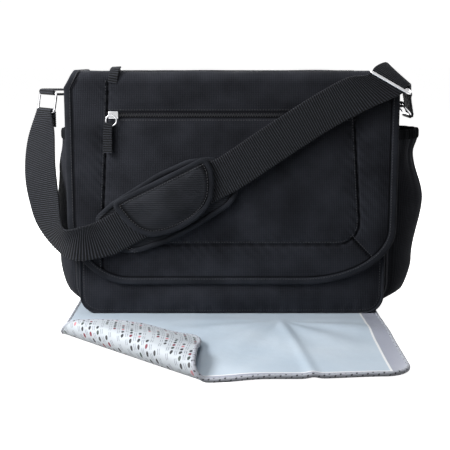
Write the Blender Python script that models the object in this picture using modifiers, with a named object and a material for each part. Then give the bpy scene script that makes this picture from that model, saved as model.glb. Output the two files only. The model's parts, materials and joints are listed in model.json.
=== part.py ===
"""A messenger-style diaper bag with a full front flap, a shoulder strap, and its changing pad.

Metres. X points right seen from the front, -Y is the front and +Z is up. The origin is on the
surface that the set stands on, under the middle of the bag's body. The flap and the strap turn
about one line across the top of the bag, through the two strap anchors.
"""

import math

import bmesh
import bpy
from mathutils import Vector

# Driving dimensions
BODY_HALF = 0.200  # half the body's width
BODY_FRONT = -0.061  # outer face of the front panel
BODY_BACK = 0.075  # outer face of the back panel
BODY_TOP = 0.297
MAT_THICK = 0.004  # the changing pad, which the bag stands on
BASE_Z = MAT_THICK + 0.0005
CORNER = 0.035  # bottom corners of the body
WALL = 0.0025  # laminated outer fabric
GAP = 0.0003  # between touching pieces
HINGE_Y = 0.035  # the line that the flap and the strap turn about
HINGE_Z = 0.3005

POCKET_HALF = 0.189  # front pocket
POCKET_FACE = -0.0740
POCKET_TOP = 0.225
POCKET_CORNER = 0.022
SIDE_FRONT = -0.045  # side pockets
SIDE_BACK = 0.062
LEFT_BULGE = ((0.020, 0.0), (0.060, 0.024), (0.100, 0.031), (0.180, 0.024), (0.222, 0.017))
RIGHT_BULGE = ((0.014, 0.0), (0.060, 0.033), (0.140, 0.050), (0.202, 0.035), (0.222, 0.040))

FLAP_HALF = 0.202
FLAP_TOP_HALF = 0.1915
FLAP_BOTTOM = 0.044
FLAP_LEFT_CORNER = (0.075, 0.080)  # width and height of each rounded lower corner
FLAP_RIGHT_CORNER = (0.112, 0.070)
FLAP_OUTER = 0.0017  # thickness of the outer pieces
FLAP_LINING = 0.0015
BEND_Y = -0.0681  # centre of the bend where the flap goes over the top
BEND_Z = 0.2937
BEND_OUTER = 0.01105  # middle of the outer pieces
BEND_LINING = 0.00915  # middle of the lining
FLAP_REAR = HINGE_Y - 0.004
ROOT_FRONT = HINGE_Y + 0.008
FLAP_FACE = BEND_Y - BEND_OUTER - FLAP_OUTER / 2
FLAP_FACE_TOP = 0.2866  # the front pieces end here, and the top panel goes on
SEAM_LEFT = -0.1608
SEAM_RIGHT = 0.1520
SEAM_BOTTOM = 0.0932
ZIP_LOW = 0.2502
ZIP_HIGH = 0.2568
BINDING = 0.009  # width of the tape on the flap's edge
FRONT_PULL_Y = FLAP_FACE - 0.0048  # the line that the front zip's pull swings on
FRONT_PULL_Z = 0.2535
PULL_RING = 0.0065
TOP_PULL_Y = -0.0590  # the line that the top zip's pull swings on
TOP_PULL_RISE = 0.0050  # above the flap's top face

WEB_HALF = 0.023  # half the strap webbing's width
WEB_THICK = 0.0018
WEB_Y = -0.0905  # middle of the webbing where it crosses the flap
WIRE = 0.0016  # radius of the ring wire
LEFT_TOP_BAR = Vector((-0.2430, HINGE_Y, 0.2775))
LEFT_LOW_BAR = Vector((-0.2470, HINGE_Y, 0.2520))
LEFT_BAR_DIR = Vector((-0.55, 0.835, 0.0)).normalized()
RIGHT_TAB_BAR = Vector((0.2230, HINGE_Y, 0.2620))
RIGHT_WEB_BAR = Vector((0.2345, HINGE_Y, 0.2485))
RIGHT_BAR_DIR = Vector((0.0, 1.0, 0.0))
RING_HALF = 0.027

PAD_CENTRE = Vector((-0.0805, 0.0, 0.1430))  # middle of the shoulder pad, in X and Z
PAD_ALONG = Vector((0.885, 0.0, 0.466)).normalized()
PAD_ACROSS = Vector((-PAD_ALONG.z, 0.0, PAD_ALONG.x))
PAD_BASE_BACK = -0.0848
PAD_BASE_FRONT = -0.0895
PAD_FACE = -0.0992
PAD_BASE = (  # outline of the pad's base, along and across the strap
    (0.0880, -0.0050),
    (0.0860, 0.0150),
    (0.0765, 0.0270),
    (0.0500, 0.0370),
    (0.0090, 0.0395),
    (-0.0600, 0.0340),
    (-0.0850, 0.0270),
    (-0.0870, 0.0080),
    (-0.0850, -0.0120),
    (-0.0755, -0.0260),
    (-0.0577, -0.0345),
    (-0.0200, -0.0405),
    (0.0216, -0.0400),
    (0.0690, -0.0360),
    (0.0850, -0.0270),
)
PAD_PANEL = (  # outline of the D-shaped panel sewn on the base over the strap
    (0.0660, 0.0140),
    (0.0670, 0.0270),
    (-0.0520, 0.0300),
    (-0.0475, 0.0050),
    (-0.0410, -0.0100),
    (-0.0300, -0.0205),
    (-0.0150, -0.0250),
    (0.0050, -0.0275),
    (0.0220, -0.0265),
    (0.0400, -0.0215),
    (0.0520, -0.0130),
    (0.0610, 0.0010),
)
PAD_BINDING = 0.0065  # width of the tape round the D-shaped panel

ARC_STEPS = 6

COLOURS = {
    "shell_fabric": ((0.016, 0.017, 0.021), 0.80, 0.0),
    "lining_fabric": ((0.30, 0.31, 0.33), 0.75, 0.0),
    "webbing": ((0.011, 0.012, 0.015), 0.70, 0.0),
    "binding_tape": ((0.012, 0.013, 0.016), 0.65, 0.0),
    "pad_fabric": ((0.016, 0.017, 0.020), 0.85, 0.0),
    "elastic": ((0.011, 0.012, 0.014), 0.70, 0.0),
    "metal": ((0.75, 0.75, 0.77), 0.18, 1.0),
    "zip_tape": ((0.010, 0.010, 0.012), 0.60, 0.0),
    "hook_loop": ((0.010, 0.010, 0.011), 0.90, 0.0),
    "board": ((0.050, 0.050, 0.055), 0.50, 0.0),
    "mat_vinyl": ((0.60, 0.68, 0.76), 0.35, 0.0),
}


def clear_scene():
    for obj in list(bpy.data.objects):
        bpy.data.objects.remove(obj, do_unlink=True)


def collection(name):
    made = bpy.data.collections.new(name)
    bpy.context.scene.collection.children.link(made)
    return made


def material(name):
    found = bpy.data.materials.get(name)
    if found:
        return found
    colour, roughness, metallic = COLOURS[name]
    made = bpy.data.materials.new(name)
    made.use_nodes = True
    shader = made.node_tree.nodes["Principled BSDF"]
    shader.inputs["Base Color"].default_value = (*colour, 1.0)
    shader.inputs["Roughness"].default_value = roughness
    shader.inputs["Metallic"].default_value = metallic
    return made


def add(name, data, finish):
    obj = bpy.data.objects.new(name, data)
    data.materials.append(material(finish))
    PARTS.objects.link(obj)
    return obj


def mesh_from(name, shape, finish):
    """An object from a bmesh, which is freed."""
    mesh = bpy.data.meshes.new(name)
    shape.to_mesh(mesh)
    shape.free()
    return add(name, mesh, finish)


def box(name, low, high, finish):
    shape = bmesh.new()
    bmesh.ops.create_cube(shape, size=1.0)
    low, high = Vector(low), Vector(high)
    bmesh.ops.scale(shape, vec=high - low, verts=shape.verts)
    bmesh.ops.translate(shape, vec=(low + high) / 2, verts=shape.verts)
    return mesh_from(name, shape, finish)


def solidify(obj, thickness, offset):
    shell = obj.modifiers.new("Solidify", "SOLIDIFY")
    shell.thickness = thickness
    shell.offset = offset
    shell.use_even_offset = True
    return obj


def surface(name, rows, thickness, finish, smooth=True):
    """An open sheet through rows of points, given its thickness evenly on both sides."""
    shape = bmesh.new()
    grid = [[shape.verts.new(point) for point in row] for row in rows]
    for here, there in zip(grid, grid[1:]):
        for i in range(len(here) - 1):
            shape.faces.new((here[i], here[i + 1], there[i + 1], there[i]))
    obj = mesh_from(name, shape, finish)
    if smooth:
        obj.data.shade_smooth()
    return solidify(obj, thickness, 0.0)


def band(name, path, y_front, y_back, thickness, finish, caps=()):
    """A strip that follows an (x, z) path from left to right below, thickened inwards.

    caps may name "front" and "back", which close those sides with flat walls."""
    shape = bmesh.new()
    front = [shape.verts.new((x, y_front, z)) for x, z in path]
    back = [shape.verts.new((x, y_back, z)) for x, z in path]
    for i in range(len(path) - 1):
        shape.faces.new((front[i], back[i], back[i + 1], front[i + 1]))
    if "front" in caps:
        shape.faces.new(front)
    if "back" in caps:
        shape.faces.new(back[::-1])
    return solidify(mesh_from(name, shape, finish), thickness, -1.0)


def outline_curve(name, outlines, half_thickness, finish):
    curve = bpy.data.curves.new(name, "CURVE")
    curve.dimensions = "2D"
    curve.fill_mode = "BOTH"
    curve.extrude = half_thickness
    for outline in outlines:
        spline = curve.splines.new("POLY")
        spline.points.add(len(outline) - 1)
        for point, (a, b) in zip(spline.points, outline):
            point.co = (a, b, 0.0, 1.0)
        spline.use_cyclic_u = True
    return add(name, curve, finish)


def plate(name, outline, y_front, y_back, finish):
    """An upright flat piece with an (x, z) outline."""
    obj = outline_curve(name, [outline], (y_back - y_front) / 2, finish)
    obj.rotation_euler = (math.radians(90), 0.0, 0.0)
    obj.location.y = (y_front + y_back) / 2
    return obj


def tube(name, points, radius, finish, cyclic=False, sides=2):
    curve = bpy.data.curves.new(name, "CURVE")
    curve.dimensions = "3D"
    curve.bevel_depth = radius
    curve.bevel_resolution = sides
    curve.use_fill_caps = not cyclic
    spline = curve.splines.new("POLY")
    spline.points.add(len(points) - 1)
    for point, place in zip(spline.points, points):
        point.co = (*place, 1.0)
    spline.use_cyclic_u = cyclic
    spline.use_smooth = True
    return add(name, curve, finish)


def arc(centre, radius, start, end, steps=ARC_STEPS):
    """Points on a circle from one angle to another, in degrees."""
    angles = [math.radians(start + (end - start) * i / steps) for i in range(steps + 1)]
    return [(centre[0] + radius * math.cos(a), centre[1] + radius * math.sin(a)) for a in angles]


def u_path(half, bottom, top, radius):
    """Down the left side, round both bottom corners and up the right side, as (x, z)."""
    left = arc((-half + radius, bottom + radius), radius, 180, 270)
    right = arc((half - radius, bottom + radius), radius, 270, 360)
    return [(-half, top), *left, *right, (half, top)]


def rounded_box(half_length, half_width, radius):
    corners = ((1, 1, 0), (-1, 1, 90), (-1, -1, 180), (1, -1, 270))
    points = []
    for along, across, start in corners:
        centre = (along * (half_length - radius), across * (half_width - radius))
        points += arc(centre, radius, start, start + 90)
    return points


def between(a, b, share):
    return a + (b - a) * share


def smooth_stations(stations, steps):
    """More (edge, edge) pairs on a curve through the given ones, spaced by their chords."""
    points = [(Vector(a), Vector(b)) for a, b in stations]
    first = tuple(2 * points[0][k] - points[1][k] for k in range(2))
    last = tuple(2 * points[-1][k] - points[-2][k] for k in range(2))
    points = [first, *points, last]
    made = []
    for i in range(1, len(points) - 2):
        p = points[i - 1 : i + 3]
        knots = [0.0]
        for one, other in zip(p, p[1:]):
            length = ((one[0] + one[1]) - (other[0] + other[1])).length / 2
            knots.append(knots[-1] + max(length, 1e-6) ** 0.5)
        for step in range(steps):
            t = between(knots[1], knots[2], step / steps)
            made.append(tuple(spline_point([q[k] for q in p], knots, t) for k in range(2)))
    made.append(points[-2])
    return made


def spline_point(points, knots, t):
    """The Catmull-Rom curve through the middle two of four points, at t."""
    level = points
    for depth in (1, 2):
        level = [
            between(level[i], level[i + 1], (t - knots[i]) / (knots[i + depth] - knots[i]))
            for i in range(len(level) - 1)
        ]
    return between(level[0], level[1], (t - knots[1]) / (knots[2] - knots[1]))


def make_body():
    """The sewn shell of the bag, open at the top under the flap."""
    shape = u_path(BODY_HALF, BASE_Z, BODY_TOP, CORNER)
    plate("front_panel", shape, BODY_FRONT, BODY_FRONT + WALL, "shell_fabric")
    plate("back_panel", shape, BODY_BACK - WALL, BODY_BACK, "shell_fabric")
    inside = (BODY_FRONT + WALL + GAP, BODY_BACK - WALL - GAP)
    corner = len(shape) // 2
    left = shape[:corner]
    right = shape[corner:]
    band("left_gusset", left, *inside, WALL, "shell_fabric")
    band("right_gusset", right, *inside, WALL, "shell_fabric")
    floor = [(left[-1][0] + 0.0012, BASE_Z), (right[0][0] - 0.0012, BASE_Z)]
    band("base_panel", floor, *inside, WALL, "shell_fabric")
    welt = u_path(BODY_HALF - 0.0016, BASE_Z + 0.0016, BODY_TOP - 0.012, CORNER - 0.0016)
    places = (("front_body_piping", BODY_FRONT - 0.0018), ("back_body_piping", BODY_BACK + 0.0018))
    for name, y in places:
        top = 0.262 if y > 0 else BODY_TOP - 0.012
        route = [(x, y, min(z, top)) for x, z in welt]
        tube(name, route, 0.0015, "binding_tape", sides=1)
    rim_inner = [
        (BODY_HALF - 0.006, BODY_FRONT + 0.006),
        (-BODY_HALF + 0.006, BODY_FRONT + 0.006),
        (-BODY_HALF + 0.006, BODY_BACK - 0.006),
        (BODY_HALF - 0.006, BODY_BACK - 0.006),
    ]
    rim_outer = [
        (BODY_HALF, BODY_FRONT),
        (BODY_HALF, BODY_BACK - 0.001),
        (-BODY_HALF, BODY_BACK - 0.001),
        (-BODY_HALF, BODY_FRONT),
    ]
    rim = outline_curve("mouth_binding", [rim_outer, rim_inner], 0.00125, "binding_tape")
    rim.location.z = BODY_TOP + GAP + 0.00125


def make_inside():
    """Lining, stiff base board, divider and slip pocket."""
    slack = WALL + 0.0006
    path = u_path(BODY_HALF - slack, BASE_Z + slack, BODY_TOP - 0.002, CORNER - slack)
    walls = (BODY_FRONT + slack, BODY_BACK - slack)
    band("lining", path, *walls, 0.001, "lining_fabric", caps=("front", "back"))
    floor = BASE_Z + slack + 0.001 + GAP
    box("base_board", (-0.160, -0.054, floor), (0.160, 0.067, floor + 0.0025), "board")
    divider = u_path(0.190, floor + 0.003, 0.215, 0.030)
    plate("inner_divider", divider, 0.018, 0.020, "lining_fabric")
    pocket = u_path(0.120, 0.060, 0.205, 0.012)
    back = walls[1] - 0.001 - GAP
    band("inner_slip_pocket", pocket, back - 0.010, back, 0.001, "lining_fabric", caps=("front",))


def make_front_pocket():
    path = u_path(POCKET_HALF, BASE_Z + 0.0036, POCKET_TOP, POCKET_CORNER)
    plate("front_pocket_panel", path, POCKET_FACE, POCKET_FACE + 0.0015, "shell_fabric")
    sides = (POCKET_FACE + 0.0015 + GAP, BODY_FRONT - GAP)
    band("front_pocket_gusset", path, *sides, 0.0015, "shell_fabric")
    outer = u_path(POCKET_HALF + 0.0018, BASE_Z + 0.0018, POCKET_TOP, POCKET_CORNER + 0.0018)
    route = [(x, POCKET_FACE + 0.0006, z) for x, z in outer]
    tube("front_pocket_piping", route, 0.0014, "binding_tape", sides=1)
    for side, x in (("left", -0.110), ("right", 0.110)):
        low = (x - 0.030, POCKET_FACE - GAP - 0.0008, 0.100)
        high = (x + 0.030, POCKET_FACE - GAP, 0.125)
        box(f"{side}_loop_strip", low, high, "hook_loop")


def bulge_at(z, heights):
    """How far a side pocket stands out at a height, from its (height, bulge) pairs."""
    for (z0, b0), (z1, b1) in zip(heights, heights[1:]):
        if z <= z1:
            share = (z - z0) / (z1 - z0)
            return between(b0, b1, share * share * (3 - 2 * share))
    return heights[-1][1]


def make_side_pocket(side, sign, heights):
    """A full pocket on a gusset, gathered by an elastic at its mouth."""
    top = heights[-1][0]

    def row(z, bulge):
        shares = [i / 12 for i in range(13)]
        return [
            (
                sign * (BODY_HALF + 0.0013 + bulge * math.sin(math.pi * s) ** 0.7),
                between(SIDE_FRONT, SIDE_BACK, s),
                z,
            )
            for s in shares
        ]

    steps = [between(heights[0][0], top, i / 14) for i in range(15)]
    rows = [row(z, bulge_at(z, heights)) for z in steps]
    surface(f"{side}_side_pocket", rows, 0.0015, "shell_fabric")
    rim = [row(z, heights[-1][1]) for z in (top + 0.0012, top + 0.0060, top + 0.0105)]
    surface(f"{side}_pocket_elastic", rim, 0.0022, "elastic")


def flap_bottom(x):
    """The height of the flap's lower edge."""
    wide, tall = FLAP_LEFT_CORNER if x < 0 else FLAP_RIGHT_CORNER
    inset = max(0.0, abs(x) - (FLAP_HALF - wide)) / wide
    return FLAP_BOTTOM + tall * (1 - math.sqrt(max(0.0, 1 - inset * inset)))


def flap_edge(x_from, x_to, steps):
    """Points of the flap's lower edge, close together round its corners."""
    spread = [math.sin(math.pi * (i / steps - 0.5)) for i in range(steps + 1)]
    middle, half = (x_from + x_to) / 2, (x_to - x_from) / 2
    return [(middle + half * s, flap_bottom(middle + half * s)) for s in spread]


def flap_piece(name, x_from, x_to, top, steps):
    outline = [(x_from, top), *flap_edge(x_from, x_to, steps), (x_to, top)]
    plate(name, outline, FLAP_FACE, FLAP_FACE + FLAP_OUTER, "shell_fabric")


def over_the_top(radius, start_z):
    """(y, z) points up the flap's front, round the bend and back to the flap's rear edge."""
    bend = arc((BEND_Y, BEND_Z), radius, 180, 90)
    return [(BEND_Y - radius, start_z), *bend, (FLAP_REAR, BEND_Z + radius)]


def top_half(z):
    """Half the flap's width near the top, where its corners are cut off at a slant."""
    share = min(1.0, max(0.0, (z - FLAP_FACE_TOP) / (BEND_Z + BEND_OUTER - FLAP_FACE_TOP)))
    return between(FLAP_HALF, FLAP_TOP_HALF, share)


def make_flap():
    """Lining, sewn outer pieces, edge binding and hook strips."""
    corners = (FLAP_LEFT_CORNER, FLAP_RIGHT_CORNER)
    rises = {tall * (1 - math.cos(math.radians(a))) for _, tall in corners for a in range(0, 91, 15)}
    heights = [FLAP_BOTTOM + rise for rise in sorted(rises)] + [FLAP_FACE_TOP]
    lining = [edge_row(z, BEND_Y - BEND_LINING) for z in heights]
    for y, z in over_the_top(BEND_LINING, FLAP_FACE_TOP)[1:]:
        half = top_half(z)
        lining.append([(-half, y, z), (half, y, z)])
    surface("flap_lining", lining, FLAP_LINING, "lining_fabric")
    flap_piece("flap_left_band", -FLAP_HALF, SEAM_LEFT - GAP, FLAP_FACE_TOP, 8)
    flap_piece("flap_right_band", SEAM_RIGHT + GAP, FLAP_HALF, FLAP_FACE_TOP, 8)
    flap_piece("flap_bottom_band", SEAM_LEFT, SEAM_RIGHT, SEAM_BOTTOM - GAP, 6)
    low_right = arc((SEAM_RIGHT - 0.027, SEAM_BOTTOM + 0.027), 0.027, 270, 360)
    pocket = [
        (SEAM_LEFT, SEAM_BOTTOM),
        *low_right,
        (SEAM_RIGHT, ZIP_LOW),
        (SEAM_LEFT, ZIP_LOW),
    ]
    plate("zip_pocket_panel", pocket, FLAP_FACE, FLAP_FACE + FLAP_OUTER, "shell_fabric")
    upper = [
        (SEAM_LEFT, ZIP_HIGH),
        (SEAM_RIGHT, ZIP_HIGH),
        (SEAM_RIGHT, FLAP_FACE_TOP),
        (SEAM_LEFT, FLAP_FACE_TOP),
    ]
    plate("flap_upper_band", upper, FLAP_FACE, FLAP_FACE + FLAP_OUTER, "shell_fabric")
    top = [
        [(-top_half(z), y, z), (top_half(z), y, z)]
        for y, z in over_the_top(BEND_OUTER, FLAP_FACE_TOP + 0.0004)
    ]
    surface("flap_top_panel", top, FLAP_OUTER, "shell_fabric")
    make_binding()
    hook_y = BEND_Y - BEND_LINING + FLAP_LINING / 2 + GAP
    for side, x in (("left", -0.110), ("right", 0.110)):
        low = (x - 0.028, hook_y, 0.098)
        box(f"{side}_hook_strip", low, (x + 0.028, hook_y + 0.0008, 0.127), "hook_loop")


def edge_row(z, y):
    """The flap's left and right edge at a height."""
    ends = []
    for sign, (wide, tall) in ((-1, FLAP_LEFT_CORNER), (1, FLAP_RIGHT_CORNER)):
        rise = max(0.0, FLAP_BOTTOM + tall - z) / tall
        inset = wide * (1 - math.sqrt(max(0.0, 1 - rise * rise)))
        ends.append((sign * (FLAP_HALF - inset), y, z))
    return ends


def make_binding():
    """The tape over the flap's side and bottom edges."""
    y = FLAP_FACE - GAP - 0.0006
    rows = [edge_pair(-1, FLAP_HALF, y, FLAP_FACE_TOP)]
    for sign, (wide, tall), start in ((-1, FLAP_LEFT_CORNER, 180), (1, FLAP_RIGHT_CORNER, 270)):
        x, z = sign * (FLAP_HALF - wide), FLAP_BOTTOM + tall
        for a, b in arc((0.0, 0.0), 1.0, start, start + 90, 10):
            edge = Vector((x + wide * a, y, z + tall * b))
            inward = Vector((-a / wide, 0.0, -b / tall)).normalized()
            rows.append([tuple(edge), tuple(edge + inward * BINDING)])
    rows.append(edge_pair(1, FLAP_HALF, y, FLAP_FACE_TOP))
    surface("flap_binding", rows, 0.0012, "binding_tape", smooth=False)


def edge_pair(sign, half, y, z):
    return [(sign * half, y, z), (sign * (half - BINDING), y, z)]


def make_root():
    """The rear strip of the flap, sewn to the back panel, with the strap's anchor patches."""
    y = BODY_BACK + 0.0022
    bend = arc((y - 0.005, HINGE_Z + 0.0033 - 0.005), 0.005, 0, 90, 4)
    path = [(y, 0.272), *bend, (ROOT_FRONT, HINGE_Z + 0.0033)]
    rows = [[(-FLAP_TOP_HALF, a, b), (FLAP_TOP_HALF, a, b)] for a, b in path]
    surface("flap_root", rows, 0.0030, "shell_fabric")
    for side, sign, bar in (("left", -1, LEFT_TOP_BAR), ("right", 1, RIGHT_TAB_BAR)):
        ends = sorted((sign * (BODY_HALF + GAP), sign * (BODY_HALF + 0.0018)))
        low = (ends[0], HINGE_Y - WEB_HALF, bar.z - 0.015)
        box(f"{side}_anchor_patch", low, (ends[1], HINGE_Y + WEB_HALF, bar.z + 0.015), "webbing")


def make_front_zip():
    face = FLAP_FACE
    low = (SEAM_LEFT + GAP, face - 0.0006, ZIP_LOW + GAP)
    high = (SEAM_RIGHT - GAP, face + FLAP_OUTER, ZIP_HIGH - GAP)
    box("front_zip_tape", low, high, "zip_tape")
    box("front_zip_slider", (-0.150, face - 0.0038, 0.2490), (-0.138, face - 0.0009, 0.2580), "metal")
    turn = arc((-0.1465, FRONT_PULL_Z - PULL_RING), PULL_RING, 0, 345, 15)
    ring = [(x, FRONT_PULL_Y, z) for x, z in turn]
    tube("front_pull_ring", ring, 0.0007, "metal", cyclic=True, sides=1)
    low = (-0.1560, FRONT_PULL_Y - 0.0007, 0.2080)
    box("front_zip_pull", low, (-0.1455, FRONT_PULL_Y + 0.0007, 0.2392), "webbing")


def make_top_zip():
    top = BEND_Z + BEND_OUTER + FLAP_OUTER / 2
    box("top_zip_tape", (-0.150, -0.0640, top + GAP), (0.150, -0.0560, top + 0.0011), "zip_tape")
    low = (-0.1465, -0.0645, top + 0.0014)
    box("top_zip_slider", low, (-0.1355, -0.0555, top + 0.0040), "metal")
    path = [(TOP_PULL_Y, TOP_PULL_RISE), (-0.0700, 0.0046), (-0.0775, 0.0018)]
    path += [(-0.0815, -0.0050), (-0.0815, -0.0136)]
    rows = [[(-0.1475, y, top + rise), (-0.1345, y, top + rise)] for y, rise in path]
    surface("top_zip_pull", rows, 0.0012, "webbing")


def bar_ends(centre, direction, half):
    return centre - direction * half, centre + direction * half


def round_the_bar(centre, direction, outward, radius, start, end, steps=ARC_STEPS):
    """Webbing edges that turn about a bar. 0 degrees is outward and 90 is up."""
    near, far = bar_ends(centre, direction, WEB_HALF)
    made = []
    for a, b in arc((0.0, 0.0), radius, start, end, steps):
        shift = outward * a + Vector((0.0, 0.0, b))
        made.append((near + shift, far + shift))
    return made


def make_ring(name, one, other, direction):
    """A rectangular wire ring with rounded corners."""
    corners = [*bar_ends(one, direction, RING_HALF), *bar_ends(other, direction, RING_HALF)[::-1]]
    points = []
    for i, corner in enumerate(corners):
        for other_corner in (corners[i - 1], corners[(i + 1) % 4]):
            way = (other_corner - corner).normalized()
            points.append(corner + way * 0.0025)
    tube(name, points, WIRE, "metal", cyclic=True)


def make_tab(name, sign, bar, direction, outward):
    """The loop of webbing between an anchor patch and its ring."""
    reach = WIRE + GAP + 0.0007
    x = sign * (BODY_HALF + 0.0032)
    ends = []
    for z in (bar.z + reach, bar.z - reach):
        ends.append((Vector((x, HINGE_Y - WEB_HALF, z)), Vector((x, HINGE_Y + WEB_HALF, z))))
    turn = round_the_bar(bar, direction, outward, reach, 90, -90, 8)
    rows = [ends[0], *turn, ends[1]]
    surface(name, rows, 0.0012, "webbing")


def make_strap():
    left_out = Vector((-LEFT_BAR_DIR.y, LEFT_BAR_DIR.x, 0.0))
    right_out = Vector((1.0, 0.0, 0.0))
    make_ring("left_ring", LEFT_TOP_BAR, LEFT_LOW_BAR, LEFT_BAR_DIR)
    make_ring("right_ring", RIGHT_TAB_BAR, RIGHT_WEB_BAR, RIGHT_BAR_DIR)
    make_tab("left_ring_tab", -1, LEFT_TOP_BAR, LEFT_BAR_DIR, left_out)
    make_tab("right_ring_tab", 1, RIGHT_TAB_BAR, RIGHT_BAR_DIR, right_out)
    make_left_webbing(left_out)
    make_right_webbing(right_out)
    make_adjuster()
    make_shoulder_pad()


def along_pad(u, y=WEB_Y):
    """The webbing's two edges on the shoulder pad, at u along it."""
    centre = PAD_CENTRE + PAD_ALONG * u + Vector((0.0, y, 0.0))
    return centre + PAD_ACROSS * WEB_HALF, centre - PAD_ACROSS * WEB_HALF


def make_left_webbing(outward):
    """From the left ring down the bag's side, round its front corner and into the pad."""
    reach = WIRE + GAP + WEB_THICK / 2
    wrap = round_the_bar(LEFT_LOW_BAR, LEFT_BAR_DIR, outward, reach, 180, 0)
    drop = Vector((0.0, 0.0, -0.018))
    tail = (wrap[0][0] + drop, wrap[0][1] + drop)
    fall = [
        wrap[-1],
        ((-0.2310, 0.0000, 0.2290), (-0.2715, 0.0340, 0.2160)),
        ((-0.2255, -0.0300, 0.1890), (-0.2690, -0.0060, 0.1740)),
        ((-0.2165, -0.0620, 0.1470), (-0.2570, -0.0400, 0.1390)),
        ((-0.2110, -0.0840, 0.1220), (-0.2440, -0.0560, 0.1120)),
        ((-0.2030, -0.0980, 0.1150), (-0.2210, -0.0680, 0.0860)),
        ((-0.1870, -0.0990, 0.1180), (-0.1940, -0.0930, 0.0760)),
        along_pad(-0.0860, WEB_Y - 0.0006),
        along_pad(-0.0700),
        along_pad(-0.0005),
    ]
    rows = [tail, *wrap[:-1], *smooth_stations(fall, 4)]
    surface("left_webbing", rows, WEB_THICK, "webbing")


RIGHT_RUN = (
    ((0.0395, -0.0905, 0.2400), (0.0645, -0.0905, 0.2015)),
    ((0.1060, -0.0900, 0.2820), (0.1275, -0.0900, 0.2420)),
    ((0.1390, -0.0900, 0.2990), (0.1690, -0.0900, 0.2635)),
    ((0.1640, -0.0905, 0.3030), (0.2046, -0.0905, 0.2802)),
    ((0.1710, -0.0830, 0.3105), (0.2095, -0.0850, 0.2872)),
    ((0.1860, -0.0620, 0.3160), (0.2165, -0.0740, 0.2895)),
    ((0.1990, -0.0300, 0.3100), (0.2215, -0.0520, 0.2800)),
    ((0.2130, 0.0040, 0.2990), (0.2260, -0.0340, 0.2750)),
    ((0.2270, 0.0380, 0.2830), (0.2305, -0.0060, 0.2690)),
)
ADJUSTER_STATION = 3
ADJUSTER_RISE = 0.0066


def make_right_webbing(outward):
    """Out of the pad, up across the flap, over the bag's corner and round the right ring."""
    reach = WIRE + GAP + WEB_THICK / 2
    wrap = [(b, a) for a, b in round_the_bar(RIGHT_WEB_BAR, RIGHT_BAR_DIR, outward, reach, 20, -150)]
    rise = [along_pad(0.0005), along_pad(0.0700), along_pad(0.0880), *RIGHT_RUN, wrap[0]]
    rows = [*smooth_stations(rise, 4), *wrap[1:]]
    surface("right_webbing", rows, WEB_THICK, "webbing")


def make_adjuster():
    """The wire slide that sets the strap's length, and its crossbar."""
    upper, lower = (Vector(edge) for edge in RIGHT_RUN[ADJUSTER_STATION])
    after = sum((Vector(edge) for edge in RIGHT_RUN[ADJUSTER_STATION + 2]), Vector()) / 2
    along = (lower - upper).normalized()
    middle = (upper + lower) / 2
    across = after - middle
    across = (across - along * across.dot(along)).normalized()
    out = across.cross(along).normalized()
    out = -out if out.z < 0 else out
    centre = between(middle, after, 0.35) + out * ADJUSTER_RISE
    corners = [
        centre + along * (a * 0.0270) + across * (b * 0.0085)
        for a, b in ((-1, -1), (1, -1), (1, 1), (-1, 1))
    ]
    points = []
    for i, corner in enumerate(corners):
        for other in (corners[i - 1], corners[(i + 1) % 4]):
            points.append(corner + (other - corner).normalized() * 0.003)
    tube("adjuster_frame", points, WIRE, "metal", cyclic=True)
    ends = [centre - along * 0.0248, centre + along * 0.0248]
    tube("adjuster_bar", ends, WIRE, "metal")


def from_curve(obj):
    """A mesh object in place of a curve object, with its caps welded on."""
    graph = bpy.context.evaluated_depsgraph_get()
    mesh = bpy.data.meshes.new_from_object(obj.evaluated_get(graph))
    shape = bmesh.new()
    shape.from_mesh(mesh)
    bmesh.ops.remove_doubles(shape, verts=shape.verts, dist=0.00001)
    shape.to_mesh(mesh)
    shape.free()
    name = obj.name
    place = obj.matrix_world.copy()
    bpy.data.objects.remove(obj, do_unlink=True)
    made = bpy.data.objects.new(name, mesh)
    made.matrix_world = place
    PARTS.objects.link(made)
    return made


def stand_on_pad(obj, y, shift=0.0):
    """Turns a flat outline so that its X runs along the shoulder pad, and places it."""
    obj.rotation_euler = (math.radians(90), -math.atan2(PAD_ALONG.z, PAD_ALONG.x), 0.0)
    obj.location = PAD_CENTRE + PAD_ALONG * shift + Vector((0.0, y, 0.0))


def widened(outline, width):
    """An outline moved outwards by a width, or inwards where it is negative."""
    points = [Vector(point) for point in outline]
    made = []
    for i, point in enumerate(points):
        before = (point - points[i - 1]).normalized()
        after = (points[(i + 1) % len(points)] - point).normalized()
        out = Vector((before.y + after.y, -before.x - after.x)).normalized()
        made.append(point + out * (width / max(0.3, out.dot(Vector((after.y, -after.x))))))
    return made


def pad_slab(name, outline, front, back, finish):
    slab = outline_curve(name, [outline], (back - front) / 2, finish)
    stand_on_pad(slab, (front + back) / 2)
    return slab


def as_cutter(obj):
    PARTS.objects.unlink(obj)
    CUTTERS.objects.link(obj)
    obj.hide_render = True
    obj.display_type = "WIRE"
    return obj


def pad_tube(name, outline, y, radius):
    points = [PAD_CENTRE + PAD_ALONG * u + PAD_ACROSS * v + Vector((0.0, y, 0.0)) for u, v in outline]
    tube(name, points, radius, "binding_tape", cyclic=True, sides=1)


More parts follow.
